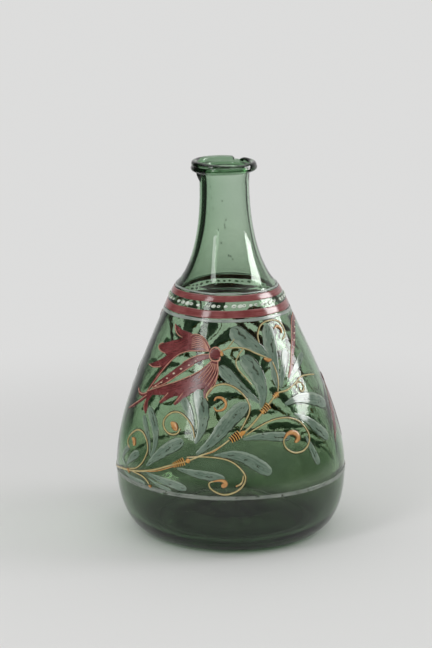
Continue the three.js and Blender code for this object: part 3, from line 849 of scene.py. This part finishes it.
# Petals: either two edges of (azimuth, height) places, or a path with its widths
petals = {
    "UpperPetal": [
        dict(upper=[(-12.5, 116.3), (-18, 121), (-25, 123), (-33, 122.2), (-40, 120), (-48, 117.8),
                    (-55, 115.8), (-61.4, 113.4)],
             lower=[(-12.8, 115.2), (-20, 114.8), (-28, 114.2), (-35, 112.6), (-41, 109.8), (-47, 109.6),
                    (-53, 110.6), (-61, 112.2)]),
        dict(path=[(-26, 121), (-35, 122.2), (-42, 123.6), (-49.6, 126.6)], widths=[4, 4.4, 3.0, 0.6]),
        dict(upper=[(-38, 113), (-46, 111), (-52, 108), (-58, 105.2), (-65.6, 102.2)],
             lower=[(-38, 111), (-44, 107), (-49.5, 103.4), (-56, 102), (-65, 101.4)]),
        dict(upper=[(-43, 109), (-49, 103.8), (-53, 98.4), (-56, 93.4), (-58.4, 88.6)],
             lower=[(-43, 107), (-48, 101.2), (-52, 95.8), (-55, 90.8), (-57.4, 87.8)]),
    ],
    "MiddlePetal": [
        dict(upper=[(-13, 113.6), (-20, 112.6), (-27, 110.4), (-34, 106.8), (-41, 102), (-47, 97.6),
                    (-54, 92.6)],
             lower=[(-13, 111.4), (-20, 109.6), (-27, 106.2), (-34, 101.6), (-41, 97), (-47, 94),
                    (-53.6, 91.6)]),
    ],
    "LowerPetal": [
        dict(upper=[(-10.6, 110.6), (-15, 107.4), (-20, 104), (-27, 100.6), (-35, 97.2), (-43, 94.2),
                    (-50, 91.4), (-57.4, 88.6)],
             lower=[(-8.4, 110.4), (-9, 103), (-13, 96.6), (-19, 94.2), (-26, 91.6), (-34, 89.8),
                    (-42, 89.2), (-50, 88), (-57.2, 86.8)]),
        dict(upper=[(-9, 110.2), (-11, 103), (-14, 98), (-15.6, 94), (-14.8, 90.8)],
             lower=[(-7, 110), (-6.8, 103.6), (-8.6, 98), (-11.4, 94), (-14.2, 90.6)]),
        dict(path=[(-24, 94), (-29, 90.6), (-33.2, 85.4)], widths=[5, 3.6, 1.6]),
        dict(path=[(-34, 92.6), (-39.6, 88.8), (-43.8, 84.8)], widths=[5, 3.6, 1.6]),
        dict(path=[(-52, 88.8), (-57, 87.2), (-61.4, 86), (-66, 86), (-70.6, 88.4)],
             widths=[3, 2.5, 2.1, 2.2, 0.6]),
        dict(path=[(-52, 88), (-57.5, 85.8), (-62, 82.6), (-68, 78.6), (-76, 74.4)],
             widths=[2.6, 2.4, 2, 1.7, 0.5]),
        dict(path=[(-53, 88.2), (-55.4, 84), (-54.6, 80.4), (-53.6, 77)], widths=[2.4, 3, 3.2, 1.4]),
    ],
}
petalNodes = {
    "UpperPetal": "blossom_upper_petal", "MiddlePetal": "blossom_middle_petal",
    "LowerPetal": "blossom_lower_petal",
}
bosses = {      # (azimuth, height) of the middle, and radius
    "blossom": (-9, 113.8, 3.1),
    "hanging": (93, 88.7, 3.0),
}
budPetal = [
    dict(upper=[(42, 99), (47, 104.6), (53, 111.8), (60, 118.4), (67, 123.8), (75, 127), (86, 128)],
         lower=[(42, 98), (49, 103.4), (55, 109.8), (62, 115), (69, 119.8), (77, 123.4), (86, 125.2)]),
]
hangingPetals = {
    "hangingNearPetal": [dict(path=[(90, 86.9), (84, 80.3), (77, 68.4), (69.5, 57)],
                              widths=[1.6, 6, 6, 0.6])],
    "hangingMiddlePetal": [dict(path=[(93, 85.9), (92, 75.4), (91, 64.4), (92, 53.5)],
                                widths=[1.6, 4, 4, 0.6])],
    "hangingFarPetal": [dict(path=[(95.5, 86.9), (99, 80.3), (100, 70.4), (98.5, 57.5)],
                             widths=[1.6, 6, 5.6, 0.6])],
}

lineWidths = {      # in millimetres, from the first place to the last
    "tendril": [0.85, 0.95, 1.15, 1.05],
    "shade": [0.3, 0.5, 0.75, 0.6, 0.4],
    "outline": [0.6, 0.65, 0.5],
    "fan": [0.6, 0.55, 0.45],
}

# Lines of the spray
stems = [
    dict(path=[(-90, 36.4), (-80, 38.8), (-70, 41.3), (-61, 43), (-50, 45.5), (-40, 48.8), (-33, 52),
               (-27, 54.6), (-21, 57), (-15, 60.2), (-9, 63), (-4, 66.2), (0, 69.4)],
         widths=[1.5, 1.5, 1.3, 1.1, 1.0]),
    dict(path=[(7, 72.4), (12, 76.6), (16.5, 80.7), (18.6, 82.6)], widths=[1.3, 1.3, 1.2]),
    dict(path=[(23.4, 86.6), (27.4, 89.8), (31, 92), (38, 92.6), (46, 95), (53, 97.4), (61, 97),
               (70, 95.4)], widths=[1.2, 1.2, 1.1, 0.9]),
    dict(path=[(-5, 115.4), (0, 116.8), (8, 117.2), (15, 116), (20, 114), (26, 111.8), (31, 109.8)],
         widths=[0.9, 0.9, 1.0]),
    dict(path=[(32.4, 108.4), (33.6, 103), (33.2, 97.6), (31.2, 92.6)], widths=[0.8, 0.8]),
    dict(path=[(12, 116.8), (8, 113.4), (5.6, 109.6), (7.2, 105.6), (11, 102), (15, 97.6)],
         widths=[0.7, 0.7]),
    dict(path=[(-2.6, 115.6), (2, 118.6), (5.4, 121.6)], widths=[0.6, 0.6]),
]
tendrils = [
    [(-60, 44.2), (-54, 46.2), (-50, 49.5), (-47.4, 54), (-46.2, 59), (-48.2, 63.8), (-52.4, 67),
     (-57.4, 67), (-62, 64), (-65, 60), (-64.6, 57.4), (-61.8, 55.6)],
    [(-18.4, 69.6), (-20, 75), (-23.5, 79), (-28, 81.7), (-33, 81.5), (-37, 78.6), (-38.2, 75),
     (-36.2, 71.5), (-32, 69.8), (-28.5, 70.9), (-27.2, 73.6)],
    [(6, 74.4), (9, 79), (11.6, 83.6), (12, 87.4), (9.6, 92), (5, 96), (-1, 98.3), (-7, 97.8),
     (-11.4, 95.2), (-13.4, 92), (-12.2, 89.6)],
    [(-22, 58.8), (-14, 59.8), (-6, 59.6), (0, 58), (4.4, 54.6), (7.2, 50), (6.8, 46), (4.6, 42.6),
     (1, 40.2), (-3, 39.3), (-7, 40.6), (-9.8, 43), (-10.2, 45.6), (-7.8, 46.8)],
    [(6.4, 50), (5.9, 47.2), (4.8, 45.2), (2.8, 44.2)],
    [(8.6, 71.6), (14, 74.6), (21, 77.5), (28, 78.8), (35, 78.2), (41, 75.5), (45, 70.6), (46.1, 66),
     (44, 61.9), (40, 59.4), (35, 59.3), (31, 61.5), (29.2, 64.6), (29.4, 67.4), (31.2, 69.6)],
    [(25, 119), (25, 122.5), (27.4, 126), (31.4, 128.4), (37, 129.4), (45, 129.2), (51, 127.4),
     (53.4, 124), (52, 120.6), (47.4, 118.6)],
    [(46.4, 92.6), (47.4, 94.6), (50, 95), (52.3, 93.6), (52.4, 91.3), (50.4, 90), (48.6, 90.8),
     (49, 92.4)],
    [(-57, 43.6), (-50, 43.3), (-46, 42), (-43.6, 39.8)],
]

# Drops, curl ends and bars of orange enamel
drops = [
    dict(path=[(-60.4, 61.6), (-58.6, 61), (-57, 58)], widths=[2.0, 3.4, 2.6]),
    dict(path=[(-33.2, 76.2), (-31, 74.8), (-28.8, 72.2)], widths=[2.2, 4.4, 3.2]),
    dict(path=[(-8.6, 89.6), (-6.9, 91.4), (-3.6, 91), (-1.6, 88.4), (-2.8, 85.6), (-6.6, 84.5),
               (-8.6, 86.4)], widths=[1.1, 1.5, 1.8, 1.7, 1.5, 1.2, 0.9]),
    dict(path=[(-8.2, 46.7), (-5.2, 47.3), (-2.8, 46.8), (-2.4, 45), (-4.4, 44)],
         widths=[0.9, 1.2, 2.0, 3.0, 3.4]),
    dict(path=[(3.4, 44.6), (2.6, 44)], widths=[1.2, 1.2]),
    dict(path=[(29.8, 67.8), (31.6, 69.8), (34.8, 70.4), (37.6, 69), (38.1, 66.5), (35.6, 64.7)],
         widths=[1.2, 2.0, 3.0, 3.4, 3.0, 1.8]),
    dict(path=[(-43.4, 39.2), (-42, 38.2)], widths=[1.6, 2.2]),
    dict(path=[(42, 125), (46, 125.8), (49.4, 124), (48.6, 121.6)], widths=[1.0, 1.8, 1.6, 1.0]),
    dict(path=[(-4.8, 115.4), (-4, 112.8)], widths=[2.0, 2.4]),
    dict(path=[(-61.4, 43.9), (-59.4, 42)], widths=[1.4, 1.6]),
    dict(path=[(-45, 46.6), (-38, 48.6), (-31, 51.8), (-27, 53.6)], widths=[0.6, 0.8]),
    dict(path=[(-12, 61.4), (-8, 63), (-4.6, 65.6)], widths=[0.6, 0.8]),
    dict(path=[(26, 110.6), (29.4, 109.4), (31.8, 109.6)], widths=[1.0, 2.4, 1.8]),
]
knots = [   # middle, direction of the stem, number of bars, spacing, bar lengths from first to last
    dict(at=(-26.2, 54.9), slant=26, bars=6, gap=1.3, long=(3.0, 4.6), thick=0.62),
    dict(at=(3, 70.8), slant=33, bars=5, gap=1.4, long=(3.8, 5.0), thick=0.68),
    dict(at=(21, 84.6), slant=38, bars=5, gap=1.35, long=(3.2, 4.2), thick=0.66),
    dict(at=(29, 90.8), slant=30, bars=3, gap=1.3, long=(2.6, 3.2), thick=0.6),
]
knotBulbs = [
    dict(path=[(-22.2, 56.4), (-20, 57.6)], widths=[3.6, 2.6]),
    dict(path=[(5.2, 71.7), (8.4, 73.6)], widths=[3.4, 2.4]),
    dict(path=[(18.4, 82.4), (20, 83.8)], widths=[1.2, 1.6]),
    dict(path=[(28.4, 90.4), (31.2, 92.2)], widths=[2.0, 1.6]),
]

# Salmon outlines of the petals, and the lines that fan out of the boss
outlines = [
    [(-13.5, 115.2), (-20, 114.9), (-28, 114.4), (-34.5, 112.9), (-40, 110.2), (-45, 105.8), (-49, 101),
     (-53, 95.4), (-56, 90.8), (-58, 88)],
    [(-13, 116.8), (-17, 120.6), (-22, 122.9), (-27, 123.3), (-30.6, 122.2)],
    [(-49.6, 126.6), (-47.6, 124), (-43, 121.6), (-38, 120.6)],
    [(-57, 115.4), (-61, 113.9), (-61, 112.3), (-57, 111), (-51, 110.6)],
    [(-66, 102), (-60, 101.6), (-54, 102.6), (-51, 103.6)],
    [(-14, 113.6), (-20, 112.9), (-27, 110.8), (-33, 107.6)],
    [(-24, 107.6), (-30, 104), (-36, 100.2), (-42, 96.2), (-48, 93.2), (-54, 91.4)],
    [(-45.6, 96.6), (-49.6, 93.6), (-53.6, 91)],
    [(-11, 110.6), (-15, 107.6), (-20, 104.2), (-27, 100.9), (-35, 97.5), (-43, 94.5), (-50, 91.7),
     (-57, 88.8)],
    [(-7, 110), (-6.7, 104), (-8.6, 98), (-11.4, 94), (-14.2, 90.8)],
    [(-39, 91), (-42.6, 87), (-44.4, 85)],
    [(-28.6, 92.4), (-31.4, 88.4), (-33.6, 86)],
    [(-57, 88), (-61.4, 86.4), (-66, 86.2), (-69.4, 87.6)],
    [(-57, 86.6), (-62, 83), (-68, 79.2), (-75, 75)],
    [(-56.4, 84), (-56.6, 80.6), (-55, 78)],
    [(42, 99), (47, 104.7), (53, 112), (60, 118.7), (67, 124.1), (75, 127.2), (86, 128.2)],
]
bossRing = dict(path=[(-5.6, 112.6), (-6, 110.8), (-8.6, 110.2), (-11.6, 110.8), (-13.2, 113),
                      (-12.4, 115.8), (-10, 117.2), (-7.2, 117), (-5.2, 115.2), (-5.4, 113)],
                widths=[1.1, 0.85, 1.0])
fans = [   # lines spread evenly from the first to the last
    dict(first=[(-14.4, 116.5), (-18.8, 120.6), (-24.3, 122.4), (-28.7, 120.9)],
         last=[(-13.8, 115.2), (-19.1, 116.9), (-23.4, 116.9), (-28.2, 115.9)], count=6),
    dict(first=[(-11.5, 109.2), (-13.4, 107.0), (-16.8, 103.7), (-19.6, 100.8)],
         last=[(-7.4, 108.8), (-6.7, 104.5), (-8.4, 100.4), (-11.3, 96.0)], count=6),
]
petalDotSize = dict(size=0.62, vary=0.5)
petalDots = [(-23, 109.5), (-27.5, 107), (-33, 104.5), (-38, 101.5), (-42.5, 98.3), (-46.5, 95.4),
             (-50.6, 93)]
budDots = [(49.4, 105), (53, 109.4), (56.6, 113), (60.6, 116.2), (65, 119.4), (70, 122.2), (76, 124.6)]

# Bands round the wall: lower edge, width and finish, with the CAD node that each stands for
bands = [
    ("neckLine", "neck_line", 144.4, 0.8, greyFinish, "grey_enamel"),
    ("upperRedBand", "upper_red_band", 140.7, 3.3, bandRedFinish, "red_enamel"),
    ("lowerRedBand", "lower_red_band", 132.3, 4.1, bandRedFinish, "red_enamel"),
    ("underLine", "under_line", 130.2, 1.7, greyFinish, "grey_enamel"),
    ("footLine", "foot_line", 35.9, 2.5, footFinish, "grey_enamel"),
]
pearls = {
    "height": 138.5,
    "front": [-66, -55, -48, -42, -37, -29, -18, -13, -8, -1, 7, 13, 17, 24, 29.5, 37, 41, 47.5, 54, 66],
    "back": 32,             # more of them, evenly set over the rest of the way round
    "dot": dict(size=1.12, vary=0.5),
    "eye": dict(size=0.4),
    "wander": (1.6, 0.25),          # round the wall in degrees, and up it in millimetres
}


def strokeEdges(shape, brush):
    if "path" in shape:
        widths = shape.get("widths") or [share * shape["width"] for share in leafSwell]
        blunt = brush.get("blunt", (max(0.2, widths[0] / 2), max(0.2, widths[-1] / 2)))
        return edgesAlong(shape["path"], widths, brush["step"], blunt)
    return edgesBetween(shape["upper"], shape["lower"], brush["step"])


def paintGroup(shapes, brush, turn, seed=0):
    return joinPieces([layStroke(strokeEdges(shape, brush), brush, turn, seed + k)
                       for k, shape in enumerate(shapes)])


def knotShapes(knot):
    azimuth, height = knot["at"]
    slant = math.radians(knot["slant"])
    run = Vector((math.cos(slant), math.sin(slant)))
    shapes = []
    for k in range(knot["bars"]):
        share = k / max(1, knot["bars"] - 1)
        middle = run * (k - (knot["bars"] - 1) / 2) * knot["gap"]
        half = (knot["long"][0] + (knot["long"][1] - knot["long"][0]) * share) / 2
        ends = [middle + Vector((-run.y, run.x)) * half * way for way in (-1, 0, 1)]
        ends[1] += run * 0.35
        path = [(azimuth + end.x / perDegree(height), height + end.y / perRise(height)) for end in ends]
        shapes.append(dict(path=path, widths=[knot["thick"]] * 2))
    return shapes


def knotShadow(knot):       # a brown patch under and between the bars of a knot: painted shadow of the bars
    azimuth, height = knot["at"]
    slant = math.radians(knot["slant"])
    reach = knot["bars"] * knot["gap"] / 2
    ends = [(way * reach * math.cos(slant), way * reach * math.sin(slant)) for way in (-1, 1)]
    return dict(path=[(azimuth + x / perDegree(height), height + y / perRise(height)) for x, y in ends],
                widths=[0.95 * long for long in knot["long"]])


def shadeLine(path):        # a brown line that shows along the outer side of a curl
    rows = [Vector(place) for place in path]
    turning = sum((b - a).cross(c - b) for a, b, c in zip(rows, rows[1:], rows[2:]))
    offset = math.copysign(0.55, turning)       # millimetres from the middle of the curl
    moved = []
    for before, spot, after in zip(rows[:1] + rows, rows, rows[1:] + rows[-1:]):
        across = (after.x - before.x) * perDegree(spot.y)
        up = (after.y - before.y) * perRise(spot.y)
        share = offset / math.hypot(across, up)
        moved.append((spot.x + up * share / perDegree(spot.y), spot.y - across * share / perRise(spot.y)))
    return dict(path=moved, widths=lineWidths["shade"])


def fanShapes(fan):
    shapes = []
    for k in range(fan["count"]):
        share = k / (fan["count"] - 1)
        path = [tuple(Vector(a).lerp(Vector(b), share)) for a, b in zip(fan["first"], fan["last"])]
        shapes.append(dict(path=path, widths=lineWidths["fan"]))
    return shapes


def paintDots(places, turn, brush, size, vary=0.0):
    slope, girth = 0.3, 1.6     # each dot is a short dab that rises to the right
    dots = []
    for k, (azimuth, height) in enumerate(places):
        radius = size * (1 + vary * noise.noise(Vector((k * 1.9, 4.4, 0))))
        wide, tall = radius / perDegree(height), slope * radius / perRise(height)
        shape = dict(path=[(azimuth - wide, height - tall), (azimuth + wide, height + tall)],
                     widths=[girth * radius] * 2)
        edges = strokeEdges(shape, {**brush, "blunt": (radius, radius)})
        dots.append(layStroke(edges, brush, turn, k * 0.7))
    return joinPieces(dots)


def paintBoss(boss, turn, brush):
    azimuth, height, radius = boss
    wide = radius / perDegree(height)
    shape = dict(path=[(azimuth - wide, height), (azimuth + wide, height)], widths=[2 * radius] * 2)
    return layStroke(strokeEdges(shape, {**brush, "blunt": (radius, radius)}), brush, turn)


def paintSpray(side, turn):
    print("enamel spray,", side)
    groups = [(name, shapes, leafBrush, 1, "leaf_enamel", leafFinish, leafNodes[name])
              for name, shapes in leaves.items()]
    groups += [(name, shapes, petalBrush, 3, "red_enamel", redFinish, petalNodes[name])
               for name, shapes in petals.items()]
    lines = stems + [dict(path=path, widths=lineWidths["tendril"]) for path in tendrils]
    bars = [shape for knot in knots for shape in knotShapes(knot)]
    knotShadows = [knotShadow(knot) for knot in knots]
    shades = [shadeLine(path) for path in tendrils]
    thin = [dict(path=path, widths=lineWidths["outline"]) for path in outlines]
    thin += [shape for fan in fans for shape in fanShapes(fan)] + [bossRing]
    groups += [
        ("BudPetal", budPetal, petalBrush, 5, "red_enamel", redFinish, "bud"),
        ("StemLines", lines, lineBrush, 7, "yellow_enamel", stemFinish, "stem"),
        ("OrangeDrops", drops, dropBrush, 11, "yellow_enamel", orangeFinish, None),
        ("KnotBars", bars, barBrush, 23, "yellow_enamel", barFinish, None),
        ("KnotBulbs", knotBulbs, dropBrush, 13, "yellow_enamel", emberFinish, None),
        # the brown patch under each knot's bars is painted shadow of the bars
        ("KnotGrounds", knotShadows, knotShadowBrush, 17, "red_enamel", knotShadowFinish, None),
        ("TendrilShades", shades, shadeBrush, 19, "red_enamel", shadeFinish, None),
        ("SalmonLines", thin, lineBrush, 29, "yellow_enamel", pinkFinish, None),
    ]
    for name, shapes, brush, seed, slotName, finish, node in groups:
        nodes = [f"{side}_{node}"] if node else []
        finishPiece(paintGroup(shapes, brush, turn, seed), side + name, finish, nodes)
    dots = paintDots(petalDots + budDots, turn, dotBrush, **petalDotSize)
    finishPiece(dots, side + "PetalDots", creamFinish)
    boss = paintBoss(bosses["blossom"], turn, bossBrush)
    finishPiece(boss, side + "BlossomBoss", redFinish, [f"{side}_blossom_boss"])


def ringEdges(low, width, wander=0.35, count=240):
    edges = []
    for k in range(count + 1):
        turn = 360 * k / count
        angle = math.radians(turn)
        spot = Vector((math.cos(angle), math.sin(angle), low * 0.1)) * 2.2
        drop, rise = (wander * noise.noise(spot + Vector((0, 0, seed))) for seed in (3.1, 8.7))
        upper, lower = Vector((turn, low + width + rise)), Vector((turn, low + drop))
        edges.append((upper, lower, angle * wallRadius(low)))
    return edges


print("enamel bands")
for name, node, low, width, finish, slotName in bands:
    finishPiece(layStroke(ringEdges(low, width), bandBrush), name, finish, [node])

sideways, upright = pearls["wander"]
pearlTurns = list(pearls["front"])
openFrom, openTo = pearls["front"][-1], pearls["front"][0] + 360
for k in range(pearls["back"]):
    even = openFrom + (openTo - openFrom) * (k + 1) / (pearls["back"] + 1)
    pearlTurns.append(even + sideways * noise.noise(Vector((k * 1.7, 2.2, 0))))
pearlPlaces = [(turn, pearls["height"] + upright * noise.noise(Vector((0, k * 1.3, 5))))
               for k, turn in enumerate(pearlTurns)]
dots = paintDots(pearlPlaces, 0, dotBrush, **pearls["dot"])
finishPiece(dots, "bandPearls", pearlFinish)
eyes = paintDots(pearlPlaces[::2], 0, eyeBrush, **pearls["eye"])
finishPiece(eyes, "pearlEyes", eyeFinish)

for side, turn in (("front", 0), ("back", 180)):
    paintSpray(side, turn)
endGroup = paintGroup(endLeaves, leafBrush, 180)
finishPiece(endGroup, "backEndLeaves", leafFinish, ["back_leaves_end"])
for name, node in (("hangingNearPetal", "hanging_blossom_near_petal"),
                   ("hangingMiddlePetal", "hanging_blossom_middle_petal"),
                   ("hangingFarPetal", "hanging_blossom_far_petal")):
    finishPiece(paintGroup(hangingPetals[name], petalBrush, 0), name, redFinish, [node])
finishPiece(paintBoss(bosses["hanging"], 0, flatBossBrush), "hangingBoss", redFinish,
            ["hanging_blossom_boss"])


# Seeds drawn long in the neck's glass, and pale flecks of old dirt on the foot
flaws = {
    "seeds": [(-5.7, 194.9), (2.3, 184.3), (-14.9, 178.6), (-8.5, 171.5), (9.1, 164.4), (12.1, 162.7)],
    "moreSeeds": (12, 154, 200),        # how many, and between which heights
    "seedSize": (0.28, 0.85),
    "seedDepth": 1.3,
    "flecks": [(-39.4, 25.8), (-13.5, 31.5), (-21.9, 28.1), (-8.3, 28.3), (3.4, 30.3), (40.2, 31.0),
               (-2.8, 35.0), (-13.9, 12.4), (30.0, 13.3)],
    "moreFlecks": (60, 6, 34),
    "fleckSize": (0.6, 0.3),        # of the large ones, then of the rest
    "smears": [dict(path=[(-9.6, 22.0), (-5.4, 23.4)], widths=[0.5, 0.8]),
               dict(path=[(-4.6, 20.6), (-1.2, 21.4)], widths=[0.5, 0.6])],
}


def makeSeed(azimuth, height):      # a bubble inside the wall
    bpy.ops.object.select_all(action="DESELECT")
    bpy.ops.mesh.primitive_ico_sphere_add(subdivisions=2, radius=1)
    seed = bpy.context.object
    wide, tall = flaws["seedSize"]
    grow = 0.8 + 0.5 * noise.noise(Vector((azimuth, height, 1)))
    middle = onWall(azimuth, height, -flaws["seedDepth"])
    for vertex in seed.data.vertices:
        taper = 1 - 0.35 * vertex.co.z
        vertex.co = middle + Vector((vertex.co.x * wide * taper, vertex.co.y * wide * taper,
                                     vertex.co.z * tall * grow)) * mm
    bpy.ops.object.shade_smooth()
    return seed


def seedFinish():
    made, tree = material("seedGlass")
    cloud = tree.noise(tree.place(), 700.0, 2.0)
    shell = tree.node("ShaderNodeBsdfPrincipled", inputs={
        "Base Color": tree.blend(cloud, srgb(34, 52, 34), srgb(66, 88, 64)), "Roughness": 0.1,
        "Alpha": 0.75})
    tree.node("ShaderNodeOutputMaterial", inputs={"Surface": shell})
    return made


def scatter(count, low, high, salt):        # places round the wall, the same on each run
    spots = []
    for k in range(count):
        a, b = (noise.cell(Vector((k + 0.5, salt, way))) for way in (0.5, 7.5))
        spots.append((180 + 180 * a, low + (high - low) * (0.5 + 0.5 * b)))
    return spots


print("seeds and flecks")
seedPlaces = flaws["seeds"] + scatter(*flaws["moreSeeds"], 3.5)
seeds = joinPieces([makeSeed(*spot) for spot in seedPlaces])
finishPiece(seeds, "neckSeeds", seedFinish())
large, small = flaws["fleckSize"]
flecks = [paintDots(flaws["flecks"], 0, fleckBrush, large),
          paintDots(scatter(*flaws["moreFlecks"], 11.5), 0, fleckBrush, small),
          paintGroup(flaws["smears"], fleckBrush, 0, 3)]
fleckFinish = enamelFinish("paleFlecks", (96, 104, 90), (140, 148, 130), (80, 88, 72),
                           {**lineLook, "cover": 0.45})
finishPiece(joinPieces(flecks), "footFlecks", fleckFinish)


# Floor, world and softboxes
studio = {
    "floorColour": (0.73, 0.73, 0.725),
    "sweepColour": (1, 1, 0.993),
    "pale": 0.72,           # brightness of the paper sweep
    "dark": 0.03,           # the room on the camera's side
    "overhead": 1.3,
    "ceiling": ((0.5, 0.85), (-0.6, 0.2)),      # how high it begins, and how far it reaches to the front
    "paper": {              # how far it is turned to the right, and between which cosines it ends
        "mirrored": (0.15, 0.42, 0.92),
        "bent": (0.18, 0.86, 0.955),
    },
    "paperTop": (0.45, 0.7),
    "fade": (0.2, 0.45),    # metres from the bottle over which the floor turns into the sweep
}


def rayKind(tree, kind):
    return tree.node("ShaderNodeLightPath", output=f"Is {kind} Ray")


# Pale all round, but where the glass mirrors or bends a ray it finds the paper and the dark room that
# level gives. Rays that go through count as glossy ones too, so the mirrored ones leave them out
def roomLight(tree, level):
    bounces = tree.node("ShaderNodeLightPath", output="Glossy Depth")
    through = rayKind(tree, "Transmission")
    inside = through * bounces.above(0.5)
    strength = studio["pale"]
    for share, kind in ((rayKind(tree, "Glossy") * (1 - through), "mirrored"), (inside, "bent")):
        strength = (level(*studio["paper"][kind]) - strength) * share + strength
    return strength


def makeFloor():
    bpy.ops.object.select_all(action="DESELECT")
    bpy.ops.mesh.primitive_plane_add(size=12, location=(0, 0, 0))
    floor = bpy.context.object
    floor.name = "floor"
    made, tree = material("floorPaper")
    place = tree.place()
    away = tree.node("ShaderNodeVectorMath", {"operation": "LENGTH"}, {0: place}, "Value")
    right, back = tree.split(place, 0), tree.split(place, 1)

    def level(turn, low, high):
        behind = ((back + right * turn) / away).ramp(low, high)
        return behind * (studio["pale"] - studio["dark"]) + studio["dark"]

    strength = roomLight(tree, level)
    near = tree.node("ShaderNodeBsdfDiffuse", inputs={"Color": studio["floorColour"]})
    sweep = tree.node("ShaderNodeEmission", inputs={"Color": studio["sweepColour"], "Strength": strength})
    mixed = tree.node("ShaderNodeMixShader", inputs={0: away.ramp(*studio["fade"]), 1: near, 2: sweep})
    tree.node("ShaderNodeOutputMaterial", inputs={"Surface": mixed})
    floor.data.materials.append(made)
    floor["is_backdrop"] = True


def makeWorld():
    world = bpy.data.worlds.new("studioWorld")
    bpy.context.scene.world = world
    world.use_nodes = True
    tree = Tree(world.node_tree)
    direction = tree.place("Generated")
    right, back, up = (tree.split(direction, axis) for axis in range(3))
    rise, reach = studio["ceiling"]
    ceiling = up.ramp(*rise) * back.ramp(*reach) * studio["overhead"]

    def level(turn, low, high):
        around = (back + right * turn) / (1.0001 - up * up) ** 0.5
        paper = around.ramp(low, high) * (1 - up.ramp(*studio["paperTop"]))
        room = paper * (studio["pale"] - studio["dark"]) + studio["dark"]
        return room.orMore(ceiling)

    strength = roomLight(tree, level)
    background = tree.node("ShaderNodeBackground", inputs={"Color": studio["sweepColour"],
                                                           "Strength": strength})
    tree.node("ShaderNodeOutputWorld", inputs={"Surface": background})


def addSoftbox(name, azimuth, elevation, distance, size, radiance, aim=(0, 0, 0.1)):
    turn = math.radians(azimuth)
    rise = math.radians(elevation)
    level = math.cos(rise)
    direction = Vector((math.sin(turn) * level, -math.cos(turn) * level, math.sin(rise)))
    light = bpy.data.lights.new(name, "AREA")
    light.shape = "RECTANGLE"
    light.size, light.size_y = size
    light.energy = radiance * math.pi * size[0] * size[1]
    lamp = bpy.data.objects.new(name, light)
    lamp.location = Vector(aim) + direction * distance
    lamp.rotation_euler = direction.to_track_quat("Z", "Y").to_euler()
    bpy.context.scene.collection.objects.link(lamp)
    return lamp


print("stage and light")
makeFloor()
makeWorld()
shineCard = addSoftbox("shineCard", 96, 24, 0.9, (0.4, 0.5), 9.0)
shineCard.visible_diffuse = False       # it only mirrors in the glass and the paint
keySoftbox = addSoftbox("keySoftbox", 92, 28, 1.0, (0.4, 0.6), 3.4)
keySoftbox.visible_glossy = False
addSoftbox("fillSoftbox", -42, 30, 1.0, (0.2, 0.7), 5.0)


# Camera
view = {
    "lens": 122.2,
    "distance": 1.2673,
    "elevation": 14.212,
    "aim": 0.1075,
    "shift": (-0.0227, 0.0341),
}


def makeCamera():
    data = bpy.data.cameras.new("photoCamera")
    data.lens = view["lens"]
    data.shift_x, data.shift_y = view["shift"]
    data.clip_start = 0.05
    camera = bpy.data.objects.new("photoCamera", data)
    rise = math.radians(view["elevation"])
    away = view["distance"]
    camera.location = (0, -away * math.cos(rise), view["aim"] + away * math.sin(rise))
    camera.rotation_euler = (math.pi / 2 - rise, 0, 0)
    bpy.context.scene.collection.objects.link(camera)
    bpy.context.scene.camera = camera


makeCamera()
bpy.context.scene.view_settings.view_transform = "Standard"

low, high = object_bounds()
